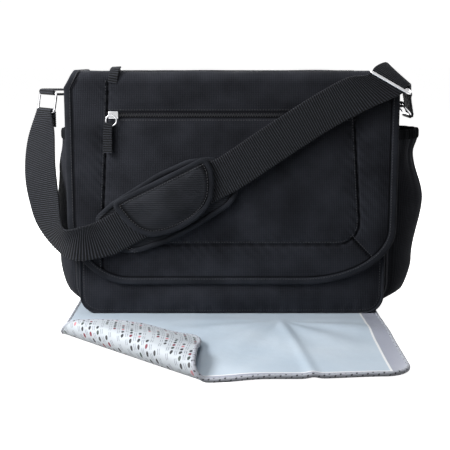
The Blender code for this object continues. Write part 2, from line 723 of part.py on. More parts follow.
def make_shoulder_pad():
    """A padded base behind the webbing and a D-shaped padded panel sewn on it in front."""
    pad = pad_slab("shoulder_pad", PAD_BASE, PAD_BASE_FRONT, PAD_BASE_BACK, "pad_fabric")
    panel = widened(PAD_PANEL, PAD_BINDING)
    front = pad_slab("pad_front", panel, PAD_FACE, PAD_BASE_FRONT + 0.0002, "pad_fabric")
    bpy.context.view_layer.update()
    pad = from_curve(pad)
    front = as_cutter(from_curve(front))
    tunnel = box("pad_tunnel", (-0.12, -0.0276, -0.0016), (0.12, 0.0276, 0.0016), "webbing")
    stand_on_pad(as_cutter(tunnel), WEB_Y)
    for name, operation, other in (("Front", "UNION", front), ("Tunnel", "DIFFERENCE", tunnel)):
        change = pad.modifiers.new(name, "BOOLEAN")
        change.operation = operation
        change.object = other
    panel_front = PAD_FACE - GAP - 0.0020
    pad_slab("pad_face_panel", widened(PAD_PANEL, -0.0018), panel_front, PAD_FACE - GAP, "pad_fabric")
    pad_tube("pad_piping", PAD_PANEL, PAD_FACE - GAP - 0.0012, 0.0012)
    pad_tube("pad_edge_tape", widened(PAD_BASE, 0.0028), (PAD_BASE_FRONT + PAD_BASE_BACK) / 2, 0.0021)


FOLD_FRONT = Vector((-0.012, -0.340))
FOLD_BACK = Vector((-0.200, -0.150))
FOLD_PROFILE = ((0.0, 0.008), (0.06, 0.020), (0.2, 0.030), (0.45, 0.028), (0.7, 0.016), (1.0, 0.006))
FOLD_REACH = 0.125


def make_changing_pad():
    """The changing mat under the bag, its front left corner folded back over it."""
    outline = [(0.183, 0.060), (-0.190, 0.060), tuple(FOLD_BACK), tuple(FOLD_FRONT), (0.183, -0.325)]
    mat = outline_curve("changing_pad", [outline], MAT_THICK / 2, "mat_vinyl")
    mat.location.z = MAT_THICK / 2
    bpy.context.view_layer.update()
    mat = from_curve(mat)
    fold = as_cutter(fold_solid())
    join = mat.modifiers.new("Fold", "BOOLEAN")
    join.operation = "UNION"
    join.object = fold


def fold_solid():
    """The folded corner: low at the crease's ends and puffed in its middle."""
    shape = bmesh.new()
    along = FOLD_BACK - FOLD_FRONT
    inward = Vector((along.y, -along.x)).normalized()
    rings = []
    for i in range(11):
        share = 0.02 + 0.96 * i / 10
        swell = math.sin(math.pi * share) ** 0.8
        foot = FOLD_FRONT + along * share + inward * 0.001
        under = [(0.0, 0.002), (1.0, 0.002)]
        ring = []
        for w, z in [*under, *reversed(FOLD_PROFILE)]:
            spot = foot + inward * (w * FOLD_REACH * swell)
            height = z if z == 0.002 else 0.0055 + (z - 0.0055) * (0.35 + 0.65 * swell)
            ring.append(shape.verts.new((spot.x, spot.y, height)))
        rings.append(ring)
    for here, there in zip(rings, rings[1:]):
        for k in range(len(here)):
            after = (k + 1) % len(here)
            shape.faces.new((here[k], here[after], there[after], there[k]))
    shape.faces.new(rings[0])
    shape.faces.new(rings[-1][::-1])
    bmesh.ops.recalc_face_normals(shape, faces=shape.faces)
    return mesh_from("pad_fold", shape, "mat_vinyl")


def hang(name, point, children, parent=None):
    """An empty on a joint's axis that carries one moving body."""
    pivot = bpy.data.objects.new(name, None)
    PARTS.objects.link(pivot)
    pivot.location = point
    bpy.context.view_layer.update()
    adopt(pivot, parent)
    for child in children:
        adopt(bpy.data.objects[child], pivot)


def adopt(child, parent):
    child.parent = parent
    if parent:
        child.matrix_parent_inverse = parent.matrix_world.inverted()


def hang_moving_bodies():
    line = (0.0, HINGE_Y, HINGE_Z)
    hang("flap_pivot", line, FLAP_NODES)
    flap = bpy.data.objects["flap_pivot"]
    hang("strap_pivot", line, STRAP_NODES, flap)
    hang("front_slider_way", (-0.144, FLAP_FACE, FRONT_PULL_Z), ["front_zip_slider"], flap)
    hang("top_slider_way", (-0.141, TOP_PULL_Y, 0.3076), ["top_zip_slider"], flap)
    front = bpy.data.objects["front_slider_way"]
    pulls = ["front_pull_ring", "front_zip_pull"]
    hang("front_pull_pivot", (-0.1465, FRONT_PULL_Y, FRONT_PULL_Z), pulls, front)
    top = bpy.data.objects["top_slider_way"]
    rise = BEND_Z + BEND_OUTER + FLAP_OUTER / 2 + TOP_PULL_RISE
    hang("top_pull_pivot", (-0.141, TOP_PULL_Y, rise), ["top_zip_pull"], top)
    strap = bpy.data.objects["strap_pivot"]
    hang("shoulder_pad_way", PAD_CENTRE + Vector((0.0, WEB_Y, 0.0)), PAD_NODES, strap)
    hang("changing_pad_way", (0.0, 0.0, 0.0), ["changing_pad"])


FLAP_NODES = (
    "flap_lining",
    "flap_left_band",
    "flap_right_band",
    "flap_bottom_band",
    "zip_pocket_panel",
    "flap_upper_band",
    "flap_top_panel",
    "flap_binding",
    "left_hook_strip",
    "right_hook_strip",
    "front_zip_tape",
    "top_zip_tape",
)
STRAP_NODES = (
    "left_ring_tab",
    "right_ring_tab",
    "left_ring",
    "right_ring",
    "left_webbing",
    "right_webbing",
    "adjuster_frame",
    "adjuster_bar",
)
PAD_NODES = ("shoulder_pad", "pad_face_panel", "pad_piping", "pad_edge_tape")

clear_scene()
PARTS = collection("diaper_bag")
CUTTERS = collection("cutters")
make_body()
make_inside()
make_front_pocket()
make_side_pocket("left", -1, LEFT_BULGE)
make_side_pocket("right", 1, RIGHT_BULGE)
make_flap()
make_root()
make_front_zip()
make_top_zip()
make_strap()
make_changing_pad()
hang_moving_bodies()
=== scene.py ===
"""The looks of the diaper bag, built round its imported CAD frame.

Metres. X points right seen from the front, -Y is the front and +Z is up.
"""

import itertools
import json
import math
from functools import partialmethod

import bmesh
import bpy
import numpy as np
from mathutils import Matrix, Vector


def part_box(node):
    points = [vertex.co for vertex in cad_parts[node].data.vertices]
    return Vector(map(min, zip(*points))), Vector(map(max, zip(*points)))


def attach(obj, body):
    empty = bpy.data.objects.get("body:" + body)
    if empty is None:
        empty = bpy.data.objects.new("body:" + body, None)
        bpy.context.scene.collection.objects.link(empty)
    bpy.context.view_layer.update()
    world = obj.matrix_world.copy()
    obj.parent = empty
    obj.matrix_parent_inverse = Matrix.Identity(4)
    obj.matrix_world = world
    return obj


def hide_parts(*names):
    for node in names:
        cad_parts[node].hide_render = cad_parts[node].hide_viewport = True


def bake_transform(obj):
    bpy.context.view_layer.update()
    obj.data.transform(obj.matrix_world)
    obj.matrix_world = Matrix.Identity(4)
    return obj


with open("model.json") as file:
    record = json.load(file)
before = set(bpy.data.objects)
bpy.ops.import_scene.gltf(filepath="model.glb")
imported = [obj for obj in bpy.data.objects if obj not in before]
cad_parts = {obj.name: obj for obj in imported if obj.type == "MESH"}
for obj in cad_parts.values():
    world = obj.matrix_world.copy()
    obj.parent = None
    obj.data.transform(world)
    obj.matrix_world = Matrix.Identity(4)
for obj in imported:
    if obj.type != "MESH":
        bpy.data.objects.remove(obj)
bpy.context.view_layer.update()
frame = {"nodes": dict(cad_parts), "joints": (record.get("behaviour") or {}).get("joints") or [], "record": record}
RECORD = frame["record"]
JOINTS = {joint["name"]: joint for joint in frame["joints"]}


# ------------------------------------------------------------------ places
def low(node):
    """The lowest corner of a CAD node's box."""
    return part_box(node)[0]


def high(node):
    """The highest corner of a CAD node's box."""
    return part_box(node)[1]


HINGE = Vector(JOINTS["flap_hinge"]["pos_m"])
FLOOR = low("changing_pad").z
BODY_HALF = high("back_panel").x
BODY_FRONT = low("front_panel").y
BODY_BACK = high("back_panel").y
BODY_BASE = low("front_panel").z
BODY_TOP = high("mouth_binding").z
FLAP_HALF = high("flap_lining").x
FLAP_BOTTOM = low("flap_lining").z
FLAP_FACE = low("flap_top_panel").y
FLAP_TOP = high("flap_top_panel").z
FLAP_TOP_HALF = high("flap_root").x
POCKET_HALF = high("front_pocket_panel").x
POCKET_FACE = low("front_pocket_panel").y
POCKET_BASE = low("front_pocket_panel").z - 0.0030  # the cloth sags to the base
POCKET_TOP = high("front_pocket_panel").z
ZIP_LOW = low("front_zip_tape").z
ZIP_HIGH = high("front_zip_tape").z
SEAM_LEFT = low("zip_pocket_panel").x
SEAM_RIGHT = high("zip_pocket_panel").x
SEAM_BOTTOM = low("zip_pocket_panel").z
FOOT = Vector((0.0, BODY_FRONT, FLOOR))


def at(x, y, z):
    """A point by its distance right of, behind and above the foot of the bag's front."""
    return FOOT + Vector((x, y, z))


# --------------------------------------------------------------- materials
MATERIALS = {}


class Nodes:
    """Short calls that add shader nodes and join them."""

    def __init__(self, name):
        self.material = bpy.data.materials.new(name)
        self.material.use_nodes = True
        self.tree = self.material.node_tree
        self.shader = self.tree.nodes["Principled BSDF"]

    def add(self, kind, **inputs):
        node = self.tree.nodes.new(kind)
        for key, value in inputs.items():
            self.set(node.inputs[key.replace("_", " ")], value)
        return node

    def set(self, socket, value):
        if isinstance(value, bpy.types.NodeSocket):
            self.tree.links.new(value, socket)
        else:
            socket.default_value = value

    def math(self, operation, a, b=None, c=None):
        node = self.tree.nodes.new("ShaderNodeMath")
        node.operation = operation
        for socket, value in zip(node.inputs, (a, b, c)):
            if value is not None:
                self.set(socket, value)
        return node.outputs[0]

    times = partialmethod(math, "MULTIPLY")
    plus = partialmethod(math, "ADD")
    minus = partialmethod(math, "SUBTRACT")
    over = partialmethod(math, "DIVIDE")
    scaled = partialmethod(math, "MULTIPLY_ADD")
    power = partialmethod(math, "POWER")
    root = partialmethod(math, "SQRT")
    sine = partialmethod(math, "SINE")
    size = partialmethod(math, "ABSOLUTE")
    floor = partialmethod(math, "FLOOR")
    fraction = partialmethod(math, "FRACT")
    below = partialmethod(math, "LESS_THAN")
    above = partialmethod(math, "GREATER_THAN")
    smaller = partialmethod(math, "MINIMUM")
    larger = partialmethod(math, "MAXIMUM")

    def mix(self, share, a, b):
        node = self.tree.nodes.new("ShaderNodeMix")
        node.data_type = "RGBA"
        self.set(node.inputs[0], share)
        self.set(node.inputs[6], a)
        self.set(node.inputs[7], b)
        return node.outputs[2]

    def coordinate(self, kind):
        return self.add("ShaderNodeTexCoord").outputs[kind]

    def split(self, vector):
        node = self.add("ShaderNodeSeparateXYZ", Vector=vector)
        return node.outputs[0], node.outputs[1]

    def noise(self, vector, scale, detail=3.0):
        node = self.add("ShaderNodeTexNoise", Vector=vector, Scale=scale, Detail=detail)
        return node.outputs[0]

    def bump(self, height, strength, distance, normal=None):
        node = self.add("ShaderNodeBump", Height=height, Strength=strength, Distance=distance)
        if normal is not None:
            self.set(node.inputs["Normal"], normal)
        return node.outputs[0]

    def finish(self, colour, roughness, normal=None, metallic=0.0, sheen=0.0, specular=0.5):
        looks = {
            "Base Color": colour,
            "Roughness": roughness,
            "Metallic": metallic,
            "Specular IOR Level": specular,
            "Sheen Weight": sheen,
            "Sheen Roughness": 0.5,
        }
        if normal is not None:
            looks["Normal"] = normal
        for key, value in looks.items():
            self.set(self.shader.inputs[key], value)
        return self.material


def slot_colour(name, lift=1.0):
    """The record's colour of a material slot, as RGBA."""
    for row in RECORD["materials"]:
        if row["slot"] == name:
            return tuple(min(1.0, c * lift) for c in row["base_color"]) + (1.0,)
    raise KeyError(name)


def waves(nodes, value, pitch):
    """0 to 1 and back once each pitch."""
    turn = nodes.times(value, 2 * math.pi / pitch)
    return nodes.scaled(nodes.sine(turn), 0.5, 0.5)


def shaded(colour, share):
    """A colour made paler or darker, as RGBA."""
    return tuple(c * share for c in colour[:3]) + (1.0,)


def woven(
    name, slot, pitch_u, pitch_v, depth, roughness=0.8, coordinate="UV", sheen=0.02, lift=1.0, mottle_and_sheen=0.45
):
    """Cloth with fine ribs, with painted sheen patches, painted shade between its ribs and painted shade in its
    seams. Its pitches are in metres.
    """
    n = Nodes(name)
    place = n.coordinate(coordinate)
    u, v = n.split(place)
    weave = n.scaled(waves(n, v, pitch_v), 0.35, n.times(waves(n, u, pitch_u), 0.65))
    height = n.scaled(n.noise(place, 900.0), 0.3, weave)
    # painted sheen: soft pale and dark patches that stand in for the cloth's satin-like sheen
    painted_sheen_patch = n.scaled(n.noise(place, 22.0, 6.0), 3.4, -1.2)
    painted_light_share = n.scaled(painted_sheen_patch, mottle_and_sheen, n.times(weave, 1 - mottle_and_sheen))
    base = slot_colour(slot, lift)
    # painted light: a shaded copy and a lit copy of the base colour, mixed by the sheen patches and the ribs
    painted_light_colour = n.mix(n.larger(n.smaller(painted_light_share, 1.0), 0.0), shaded(base, 0.45), shaded(base, 1.7))
    # painted shade in the seams: the mesh's crease attribute turns the colour nearly black there
    crease = n.add("ShaderNodeAttribute")
    crease.attribute_name = "crease"
    colour = n.mix(crease.outputs["Fac"], painted_light_colour, (0.0015, 0.0015, 0.002, 1.0))
    MATERIALS[name] = n.finish(colour, roughness, n.bump(height, 0.6, depth), sheen=sheen, specular=0.03)


def ribbed(name, slot, pitch, lift=1.0):
    """Webbing with painted highlights on its ribs and painted shade in the grooves between them, with a fine yarn
    across them.
    """
    n = Nodes(name)
    place = n.coordinate("UV")
    u, v = n.split(place)
    rib = waves(n, n.minus(v, pitch / 4), pitch)
    yarn = waves(n, n.scaled(v, 0.5, u), 0.0016)
    fuzz = n.noise(place, 700.0)
    relief = n.bump(n.scaled(fuzz, 0.5, n.scaled(yarn, 0.3, rib)), 0.5, 0.0005)
    base = slot_colour(slot, lift)
    painted_light_share = n.times(n.scaled(yarn, 0.5, fuzz), n.power(rib, 2.2))
    # painted light: the colour runs from nearly black in the grooves to three times the base on the ribs
    colour = n.mix(painted_light_share, shaded(base, 0.06), shaded(base, 3.0))
    MATERIALS[name] = n.finish(colour, 0.75, relief, sheen=0.02, specular=0.14)


def plain(name, colour, roughness):
    """A smooth material with a faint mottle in its colour and its gloss."""
    n = Nodes(name)
    mottle_and_sheen = n.noise(n.coordinate("Object"), 160.0)
    tone = n.mix(mottle_and_sheen, shaded(colour, 0.65), shaded(colour, 1.35))
    rough = n.scaled(mottle_and_sheen, 0.2, roughness - 0.1)
    MATERIALS[name] = n.finish(tone, rough, n.bump(mottle_and_sheen, 0.2, 0.0002))


def polished(name):
    """Bright wire with a faint wear."""
    n = Nodes(name)
    wear = n.noise(n.coordinate("Object"), 60.0)
    rough = n.scaled(wear, 0.12, 0.12)
    tone = n.mix(wear, slot_colour("metal", 0.55), slot_colour("metal", 0.95))
    MATERIALS[name] = n.finish(tone, rough, metallic=1.0)


def mat_face():
    """Pale coated cloth edged by a white seam and a grey-lilac strip along its right and front."""
    n = Nodes("mat_face")
    place = n.coordinate("UV")
    u, v = n.split(place)
    edge = n.plus(v, n.times(n.minus(u, MAT_LEFT), -0.052))
    border = n.minus(edge, MAT_LOW.y + 0.0115)
    side = n.minus(MAT_RIGHT - 0.0200, u)
    depth = n.smaller(side, border)
    strip = n.below(depth, 0.0)
    seam = n.below(n.size(n.minus(depth, 0.0009)), 0.0012)
    cloud = n.noise(place, 11.0, 4.0)
    pale = n.mix(cloud, (0.43, 0.54, 0.65, 1.0), (0.70, 0.78, 0.86, 1.0))
    weave = waves(n, n.plus(u, v), 0.0022)
    grey = n.mix(weave, (0.34, 0.36, 0.44, 1.0), (0.46, 0.48, 0.56, 1.0))
    colour = n.mix(strip, pale, grey)
    colour = n.mix(seam, colour, (0.92, 0.93, 0.95, 1.0))
    creases = n.noise(place, 42.0, 6.0)
    MATERIALS["mat_face"] = n.finish(colour, 0.34, n.bump(creases, 0.45, 0.0018))


def mat_back():
    """White cloth printed with strings of dots and dashes that sway a little."""
    n = Nodes("mat_back")
    place = n.coordinate("UV")
    u, v = n.split(place)
    sway = n.times(n.sine(n.times(u, 38.0)), 0.0034)
    row = n.over(n.plus(v, sway), 0.0098)
    number = n.floor(row)
    within = n.minus(n.fraction(row), 0.5)
    along = n.plus(n.over(u, 0.0084), n.times(number, 2.63))
    step = n.minus(n.fraction(along), 0.5)
    count = n.floor(along)
    reach = n.root(n.plus(n.power(n.times(within, 9.6), 2.0), n.power(n.times(step, 4.6), 2.0)))
    shown = n.below(n.fraction(n.over(count, 9.0)), 0.64)
    dot = n.times(n.below(reach, 1.55), shown)
    kind = n.fraction(n.times(n.plus(count, n.times(number, 3.0)), 0.377))
    ink = n.mix(n.above(kind, 0.56), (0.008, 0.008, 0.012, 1), (0.16, 0.012, 0.03, 1))
    ink = n.mix(n.above(kind, 0.72), ink, (0.50, 0.20, 0.23, 1))
    ink = n.mix(n.above(kind, 0.80), ink, (0.02, 0.035, 0.03, 1))
    side = n.size(n.minus(n.size(within), 0.40))
    thin = n.below(side, 0.030)
    dash = n.minus(n.fraction(n.times(along, 0.8)), 0.5)
    short = n.below(n.size(dash), 0.33)
    colour = n.mix(n.times(thin, short), (0.50, 0.54, 0.58, 1.0), (0.16, 0.18, 0.22, 1.0))
    colour = n.mix(dot, colour, ink)
    creases = n.noise(place, 38.0, 5.0)
    MATERIALS["mat_back"] = n.finish(colour, 0.55, n.bump(creases, 0.35, 0.0015))


def mat_edge():
    """Pale piping printed with small dark dots."""
    n = Nodes("mat_edge")
    place = n.coordinate("UV")
    u, v = n.split(place)
    spot = n.times(waves(n, u, 0.0056), waves(n, n.plus(v, n.times(u, 0.31)), 0.0046))
    fleck = n.above(n.plus(spot, n.times(n.noise(place, 240.0), 0.5)), 0.88)
    colour = n.mix(fleck, (0.40, 0.42, 0.47, 1), (0.02, 0.02, 0.03, 1))
    MATERIALS["mat_edge"] = n.finish(colour, 0.6)


# ------------------------------------------------------------------ meshes
def put(name, vertices, faces, uvs, material, second=None, second_from=None, crease=None):
    """A smooth mesh object. Faces from second_from on take the second material.

    crease holds painted shade: how deep each vertex lies in a seam, for the cloth's material to darken there."""
    mesh = bpy.data.meshes.new(name)
    mesh.from_pydata([tuple(p) for p in vertices], [], faces)
    layer = mesh.uv_layers.new(name="UVMap")
    corner = np.empty(len(mesh.loops), np.int32)
    mesh.loops.foreach_get("vertex_index", corner)
    layer.data.foreach_set("uv", np.asarray(uvs, np.float32)[corner].ravel())
    mesh.materials.append(MATERIALS[material])
    if second:
        mesh.materials.append(MATERIALS[second])
        index = np.zeros(len(mesh.polygons), np.int32)
        index[second_from[0] : second_from[1]] = 1
        mesh.polygons.foreach_set("material_index", index)
    if crease is not None:
        # painted seam shade, stored per vertex for the cloth's material
        depth = mesh.attributes.new("crease", "FLOAT", "POINT")
        depth.data.foreach_set("value", np.asarray(crease, np.float32).ravel())
    mesh.shade_smooth()
    mesh.set_sharp_from_angle(angle=math.radians(50))
    obj = bpy.data.objects.new(name, mesh)
    bpy.context.scene.collection.objects.link(obj)
    return obj


def dress(obj, body, slot, *nodes):
    """The piece rides on a body and stands for CAD nodes. Its slot is not used."""
    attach(obj, body)
    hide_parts(*nodes)


def lengths_along(points):
    """How far along a line each of its points lies."""
    steps = np.linalg.norm(np.diff(points, axis=0), axis=1)
    return np.concatenate([[0.0], np.cumsum(steps)])


def stacked(*parts):
    """Arrays, stretched to one shape, as the parts of points."""
    return np.stack(np.broadcast_arrays(*parts), axis=-1)


def normals_of(grid):
    """The unit normal at each point of a grid."""
    down = np.gradient(grid, axis=0)
    along = np.gradient(grid, axis=1)
    normal = np.cross(down, along)
    size = np.linalg.norm(normal, axis=2, keepdims=True)
    return normal / np.maximum(size, 1e-12)


def quads(first, rows, columns, flip, around=False):
    """Faces over a grid of numbered points, closed across its rows where it goes around."""
    faces = []
    wide = columns if around else columns - 1
    for r in range(rows - 1):
        for c in range(wide):
            d = (c + 1) % columns
            face = (
                first + r * columns + c,
                first + r * columns + d,
                first + (r + 1) * columns + d,
                first + (r + 1) * columns + c,
            )
            faces.append(face[::-1] if flip else face)
    return faces


def sheet_mesh(name, grid, front, back, uv, material, second=None, around=False, crease=None):
    """A closed sheet on a grid of middle points, front and back being its offsets.

    Its front is the side seen with the first row on top and each row running to the right."""
    grid = np.asarray(grid, float)
    rows, columns = grid.shape[:2]
    normal = normals_of(grid)
    if around:
        wrapped = np.concatenate([grid[:, -1:], grid, grid[:, :1]], axis=1)
        normal = normals_of(wrapped)[:, 1:-1]
    front = np.broadcast_to(np.asarray(front, float), (rows, columns))[..., None]
    back = np.broadcast_to(np.asarray(back, float), (rows, columns))[..., None]
    points = np.concatenate([grid + normal * front, grid - normal * back]).reshape(-1, 3)
    count = rows * columns
    faces = quads(0, rows, columns, True, around)
    split = len(faces)
    faces += quads(count, rows, columns, False, around)
    ends = len(faces)
    if around:
        edge = []
        for c in range(columns):
            d = (c + 1) % columns
            edge.append((c, d))
            edge.append(((rows - 1) * columns + d, (rows - 1) * columns + c))
    else:
        loop = [(0, c) for c in range(columns)]
        loop += [(r, columns - 1) for r in range(1, rows)]
        loop += [(rows - 1, c) for c in range(columns - 2, -1, -1)]
        loop += [(r, 0) for r in range(rows - 2, 0, -1)]
        index = [r * columns + c for r, c in loop]
        edge = list(zip(index, index[1:] + index[:1]))
    faces += [(a, b, b + count, a + count) for a, b in edge]
    uvs = np.concatenate([np.asarray(uv, float).reshape(-1, 2)] * 2)
    # crease: painted seam shade on the front face; the back face gets none
    if crease is not None:
        crease = np.concatenate([np.asarray(crease).ravel(), np.zeros(count)])
    return put(name, points, faces, uvs, material, second, (split, ends), crease)


def sweep(name, centres, one, other, profile, material, closed=False):
    """A solid along a line of centres. profile holds (a, b) steps along the two cross axes."""
    centres, one, other = (np.asarray(a, float) for a in (centres, one, other))
    profile = np.asarray(profile, float)
    rows = len(centres)
    points = centres[:, None] + one[:, None] * profile[:, :1] + other[:, None] * profile[:, 1:]
    if closed:
        points = np.concatenate([points, points[:1]])
        rows += 1
    columns = len(profile)
    run = lengths_along(points.mean(axis=1))
    girth = lengths_along(profile)
    uvs = stacked(run[:, None], girth)
    faces = quads(0, rows, columns, False, True)
    if not closed:
        faces.append(tuple(range(columns)))
        faces.append(tuple(range((rows - 1) * columns, rows * columns))[::-1])
    obj = put(name, points.reshape(-1, 3), faces, uvs.reshape(-1, 2), material)
    tidy_normals(obj)
    return obj


def tidy_normals(obj):
    """Merges doubled points and turns every face outwards."""
    shape = bmesh.new()
    shape.from_mesh(obj.data)
    bmesh.ops.remove_doubles(shape, verts=shape.verts, dist=1e-6)
    bmesh.ops.recalc_face_normals(shape, faces=shape.faces)
    shape.to_mesh(obj.data)
    shape.free()


def oval(half_a, half_b, power=2.0, count=16):
    """Points round an oval, squarer as the power grows."""
    points = []
    for i in range(count):
        turn = 2 * math.pi * (i + 0.5) / count
        a, b = math.cos(turn), math.sin(turn)
        a, b = (math.copysign(abs(c) ** (2 / power), c) for c in (a, b))
        points.append((half_a * a, half_b * b))
    return points


def frames_along(points, normal_hint, closed=False):
    """Centres with two cross axes each: the first lies along the hint as nearly as it can."""
    points = np.asarray(points, float)
    if closed:
        tangent = np.roll(points, -1, axis=0) - np.roll(points, 1, axis=0)
    else:
        tangent = np.gradient(points, axis=0)
    tangent /= np.linalg.norm(tangent, axis=1, keepdims=True)
    hint = np.broadcast_to(np.asarray(normal_hint, float), points.shape)
    one = hint - tangent * (hint * tangent).sum(axis=1, keepdims=True)
    one /= np.linalg.norm(one, axis=1, keepdims=True)
    return points, one, np.cross(tangent, one)


def cord_like(name, points, radius, material, hint=(0.0, 1.0, 0.0), closed=False, count=10):
    """A round cord or wire along points."""
    profile = oval(radius, radius, count=count)
    return sweep(name, *frames_along(points, hint, closed), profile, material, closed)


def interpolated(points, run, there):
    """Points of a line at given distances along it."""
    return np.stack([np.interp(there, run, column) for column in points.T], axis=1)


def even(points, gap, closed=False):
    """The same line with its points at an even distance."""
    points = np.asarray(points, float)
    if closed:
        points = np.concatenate([points, points[:1]])
    run = lengths_along(points)
    count = max(2, int(round(run[-1] / gap)) + 1)
    there = np.linspace(0.0, run[-1], count)
    made = interpolated(points, run, there)
    return made[:-1] if closed else made


def smooth_line(points, steps=12):
    """A Catmull-Rom line through rows of numbers, spaced by their distances."""
    points = np.asarray(points, float)
    points = np.concatenate([[2 * points[0] - points[1]], points, [2 * points[-1] - points[-2]]])
    made = []
    for p in (points[i : i + 4] for i in range(len(points) - 3)):
        knots = [0.0]
        for one, other in zip(p, p[1:]):
            knots.append(knots[-1] + max(np.linalg.norm(other - one), 1e-6) ** 0.5)
        for step in range(steps):
            t = knots[1] + (knots[2] - knots[1]) * step / steps
            level = list(p)
            for depth in (1, 2):
                level = [
                    level[i] + (level[i + 1] - level[i]) * (t - knots[i]) / (knots[i + depth] - knots[i])
                    for i in range(len(level) - 1)
                ]
            made.append(level[0] + (level[1] - level[0]) * (t - knots[1]) / (knots[2] - knots[1]))
    made.append(points[-2])
    return np.array(made)


STITCH_GAP = 0.0034
STITCH_LENGTH = 0.0023
STITCH_HALF = 0.00038


def stitches(name, lines, body):
    """Short threads end to end along lines of (point, outward) rows, as one mesh."""
    vertices = []
    faces = []
    for line in lines:
        line = even(line, STITCH_GAP)
        tangent = np.gradient(line[:, :3], axis=0)
        tangent /= np.linalg.norm(tangent, axis=1, keepdims=True)
        for here, out, way in zip(line[:, :3], line[:, 3:], tangent):
            out = out / np.linalg.norm(out)
            side = np.cross(way, out)
            first = len(vertices)
            for a in (-0.5, -0.3, 0.3, 0.5):
                end = abs(a) > 0.4
                half = STITCH_HALF * (0.45 if end else 1.0)
                for b, c in ((-1, -0.4), (1, -0.4), (0.6, 0.8), (-0.6, 0.8)):
                    lift = half * c - (0.0002 if end else 0.0)
                    vertices.append(here + way * a * STITCH_LENGTH + side * b * half + out * lift)
            for k in range(3):
                for j in range(4):
                    m = (j + 1) % 4
                    base = first + 4 * k
                    faces.append((base + j, base + m, base + 4 + m, base + 4 + j))
            faces.append((first + 3, first + 2, first + 1, first))
            faces.append((first + 12, first + 13, first + 14, first + 15))
    obj = put(name, vertices, faces, np.zeros((len(vertices), 2)), "thread")
    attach(obj, body)


def ripple(a, b, seed=0.0):
    """A soft uneven field from -1 to 1 over two coordinates in metres."""
    field = np.sin(31 * a + 17 * b + seed) * np.cos(23 * b - 13 * a + 2.1 * seed)
    field = field + 0.6 * np.sin(67 * a - 41 * b + 1.7 * seed) + 0.4 * np.cos(53 * b + 89 * a + seed)
    return field / 2.0


def smooth_step(x):
    """0 to 1 with a soft start and end."""
    x = np.clip(x, 0.0, 1.0)
    return x * x * (3 - 2 * x)


# -------------------------------------------------------------------- flap
LEFT_CORNER = (0.075, 0.080)  # width and height of each rounded lower corner
RIGHT_CORNER = (0.112, 0.070)
CUT_BASE = FLAP_TOP - 0.019  # the slanted corner cut starts at this height
BEND = 0.0107  # radius of the flap's bend over the top, at its middle
FLAP_THICK = 0.0016  # half the thickness of the flap's cloth
BEND_Y = FLAP_FACE + FLAP_THICK + BEND
BEND_Z = FLAP_TOP - FLAP_THICK - BEND
FRONT_Y = BEND_Y - BEND  # the middle of the flap's cloth on the front
REAR_Y = high("flap_root").y - FLAP_THICK
REAR_LOW = low("flap_root").z
REAR_BEND = 0.006
BINDING_WIDTH = 0.0092


def flap_side_line():
    """(y, z) down the middle of the flap: up the back, over the top and down the front."""
    line = [(REAR_Y, REAR_LOW)]
    for i in range(9):
        turn = math.radians(90 * i / 8)
        y = REAR_Y - REAR_BEND + REAR_BEND * math.cos(turn)
        line.append((y, FLAP_TOP - FLAP_THICK - REAR_BEND + REAR_BEND * math.sin(turn)))
    for i in range(17):
        turn = math.radians(90 + 90 * i / 16)
        line.append((BEND_Y + BEND * math.cos(turn), BEND_Z + BEND * math.sin(turn)))
    line = even(line, 0.002)
    line[-1] = (FRONT_Y, BEND_Z)
    tall = LEFT_CORNER[1]
    straight = np.linspace(BEND_Z, FLAP_BOTTOM + tall, 151)[1:]
    corner = FLAP_BOTTOM + tall * (1 - np.cos(np.radians(np.linspace(90, 0, 51)[1:])))
    return np.concatenate([line, [(FRONT_Y, z) for z in (*straight, *corner)]])


def flap_half(z, y, corner):
    """Half the flap's width at a place on its side line."""
    z = np.asarray(z, float)
    wide, tall = corner
    rise = np.clip(FLAP_BOTTOM + tall - z, 0.0, tall) / tall
    half = FLAP_HALF - wide * (1 - np.sqrt(1 - rise * rise))
    cut = np.clip((z - CUT_BASE) / (FLAP_TOP - FLAP_THICK - CUT_BASE), 0.0, 1.0)
    slant = (FLAP_HALF - FLAP_TOP_HALF) * np.where(y > BEND_Y, 1.0, cut)
    return half - slant


def left_seam(z):
    """Where the flap's left seam lies at a height."""
    return SEAM_LEFT + 0.011 * np.clip((z - SEAM_BOTTOM) / (CUT_BASE - SEAM_BOTTOM), 0.0, 1.0)


def seam_lines():
    """The flap's seams as (x, z) lines on its front."""
    top = FLAP_TOP - 0.012
    left = [(left_seam(z), z) for z in np.linspace(FLAP_BOTTOM + 0.012, top, 14)]
    right = [(SEAM_RIGHT - 0.006, top), (SEAM_RIGHT + 0.006, SEAM_BOTTOM + 0.030)]
    arc = [
        (SEAM_RIGHT - 0.021 + 0.027 * math.cos(t), SEAM_BOTTOM + 0.027 + 0.027 * math.sin(t))
        for t in np.radians(np.linspace(0, -90, 9))
    ]
    bottom = [(SEAM_RIGHT - 0.021, SEAM_BOTTOM), (left_seam(SEAM_BOTTOM), SEAM_BOTTOM)]
    mitre = [(SEAM_RIGHT - 0.003, SEAM_BOTTOM + 0.009), (SEAM_RIGHT + 0.0250, SEAM_BOTTOM - 0.0205)]
    zips = {}
    for key, z in (("zip_high", ZIP_HIGH + 0.001), ("zip_low", ZIP_LOW - 0.001)):
        zips[key] = [(SEAM_LEFT + 0.009, z), (SEAM_RIGHT, z)]
    return {"left": left, "right": right + arc + bottom, "mitre": mitre, **zips}


def seam_distance(x, z, *keys):
    """How far points are from the nearest of some of the flap's seams."""
    seams = seam_lines()
    return distance_to([seams[key] for key in keys], x, z)


def line_mark(distance, width):
    """1 on a line, falling to 0 within about twice its width."""
    return np.exp(-((distance / width) ** 2))


